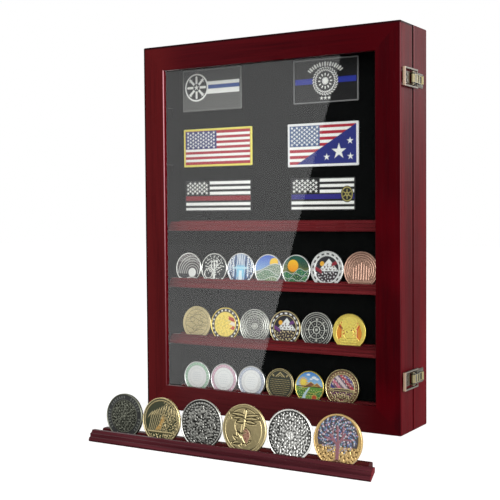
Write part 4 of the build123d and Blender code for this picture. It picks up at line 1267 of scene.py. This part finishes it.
green_token, pink_token, blue_token = map(pale_token, ((168, 208, 178), (222, 176, 196), (190, 196, 214)))
for row, start, gap, level, coins in (
        ("upper", -0.1553, 0.0004, 0.1435, [
            (0.037, moonlit, worn_silver), (0.037, leafy_tree, worn_silver), (0.038, cascade, bright_silver),
            (0.037, sunny_fields, bright_silver), (0.037, sunset_waves, bright_silver),
            (0.042, snowy_peak, bright_silver), (0.042, columns, antique_copper)]),
        ("middle", -0.1460, 0.0004, 0.074, [
            (0.041, swells, antique_gold), (0.041, sunburst, bright_gold),
            (0.041, lathe_turned, antique_silver), (0.041, dusky_peak, antique_gold),
            (0.041, wheel, antique_silver), (0.041, four_petals, bright_gold)]),
        ("lower", -0.1446, 0.0016, 0.009, [
            (0.0375, green_token, bright_silver), (0.0375, pink_token, bright_silver),
            (0.0375, blue_token, bright_silver), (0.0375, ruled, antique_gold),
            (0.0375, valley, bright_gold), (0.0425, crossed_bands, antique_gold)])):
    names = [f"{row}_coin_{number + 1}" for number in range(len(coins))]
    stand_row(names, [row] * len(coins), coins, start, gap, fitted_y, level, 100, "case", f"coins_{row}_row")
loose_row = [(0.0455, ruled_nickel, black_nickel), (0.0455, reeds, antique_gold),
             (0.048, scrollwork, antique_silver), (0.048, palmette, antique_gold),
             (0.048, braided, worn_silver), (0.0485, blossom_tree, warm_gold)]
names = [f"struck_loose_coin_{number + 1}" for number in range(len(loose_row))]
plating = ("dark_nickel", "antique_gold", "antique_silver", "antique_gold", "antique_silver", "gold")
stand_row(names, plating, loose_row, -0.0929, 0.0012, loose_y, 0.0, 140, "loose_shelf", None)
for piece in (wall_felt, *(nodes[name] for name in ("loose_shelf", "case_left_side", "door_left_stile")),
              *(bpy.data.objects[name] for name in names)):
    piece.visible_glossy = False


# The floor is a plain pale sweep. A dark card stands out of sight at the front left, where
# only gloss sees it, so that the pane mirrors it on the right and white on the left.
sweep = bmesh.new()
bmesh.ops.create_grid(sweep, x_segments=1, y_segments=1, size=5.0)
floor = put("floor", mesh_of("floor", sweep))
pale = Finish("pale_floor")
rays = pale.node("LightPath").outputs
seen = sum(Amount(pale, rays[f"Is {kind} Ray"]) for kind in ("Camera", "Glossy", "Transmission"))
floor.data.materials.append(pale.surface({
    "Base Color": paint(196, 196, 196),
    "Roughness": 0.9,
    "Specular IOR Level": 0.0,
    "Emission Color": (1.0, 1.0, 1.0, 1.0),
    "Emission Strength": seen * 0.62,
}))

pane_y = -0.031
camera_place = (0.5717, -1.0074, 0.2368)
mirror_eye = Vector((camera_place[0], 2 * pane_y - camera_place[1], camera_place[2]))
card_reach = 1.73
card_lift = 0.001
(top_x, top), (foot_x, foot) = (0.0968, 0.412), (-0.0168, 0.028)
card_bend = mirror_eye.z * (1.0 - 1.0 / card_reach)
card_far = 0.175
card_work = bmesh.new()
rows = []
for height in (top, card_bend, foot):
    near = foot_x + (height - foot) / (top - foot) * (top_x - foot_x)
    reach = min(card_reach, (mirror_eye.z - card_lift) / max(mirror_eye.z - height, 0.001))
    rows.append([card_work.verts.new(mirror_eye + (Vector((x, pane_y, height)) - mirror_eye) * reach)
                 for x in (near, card_far)])
for upper, lower in zip(rows, rows[1:]):
    card_work.faces.new((*upper, *reversed(lower)))
card = put("dark_card", mesh_of("dark_card", card_work))
card.data.materials.append(Finish("dark_card").surface({
    "Base Color": (0.0, 0.0, 0.0, 1.0),
    "Roughness": 1.0,
    "Specular IOR Level": 0.0,
}))
for ray in ("camera", "diffuse", "shadow", "transmission"):
    setattr(card, "visible_" + ray, False)


# Soft studio light, and a white surround, which looks a little brighter than it shines.
for name, place, target, size, power in (
        ("key", (0.8, -2.1, 0.6), (0.0, 0.0, 0.2), 1.1, 34.0),
        ("side", (1.9, -0.9, 0.8), (0.1, 0.0, 0.2), 0.9, 26.0),
        ("rim", (1.3, 1.6, 0.9), (0.1, 0.0, 0.2), 1.0, 12.0)):
    lamp = bpy.data.lights.new(name, "AREA")
    lamp.size, lamp.energy = size, power
    holder = put(name, lamp)
    holder.location = place
    holder.rotation_euler = (Vector(target) - Vector(place)).to_track_quat("-Z", "Y").to_euler()

surround = Finish("surround", "worlds")
surround.tree.nodes.clear()
rays = surround.node("LightPath").outputs
direct = Amount(surround, rays["Is Camera Ray"])
for kind in ("Glossy", "Transmission"):
    direct = direct.sum("MAXIMUM", direct, rays[f"Is {kind} Ray"])
plain, white_light = (surround.node("Background", {}, {"Color": (1.0, 1.0, 1.0, 1.0), "Strength": strength})
                      for strength in (0.75, 1.0))
mix = surround.node("MixShader", {}, {0: direct, 1: plain.outputs[0], 2: white_light.outputs[0]})
surround.node("OutputWorld", {}, {"Surface": mix.outputs[0]})
bpy.context.scene.world = surround.owner
bpy.context.scene.view_settings.view_transform = "Standard"


# The camera, at the photograph's place: to the right of the case, a little over its middle.
turned, tipped, rolled = math.radians(31.255), math.radians(2.231), math.radians(-0.434)
lens = bpy.data.cameras.new("camera")
lens.sensor_width = 36.0
lens.lens = 72.48
lens.clip_start = 0.01
camera = put("camera", lens)
aim = Matrix.Rotation(turned, 4, "Z") @ Matrix.Rotation(math.radians(90) - tipped, 4, "X")
camera.matrix_world = Matrix.Translation(camera_place) @ aim @ Matrix.Rotation(rolled, 4, "Z")
bpy.context.scene.camera = camera
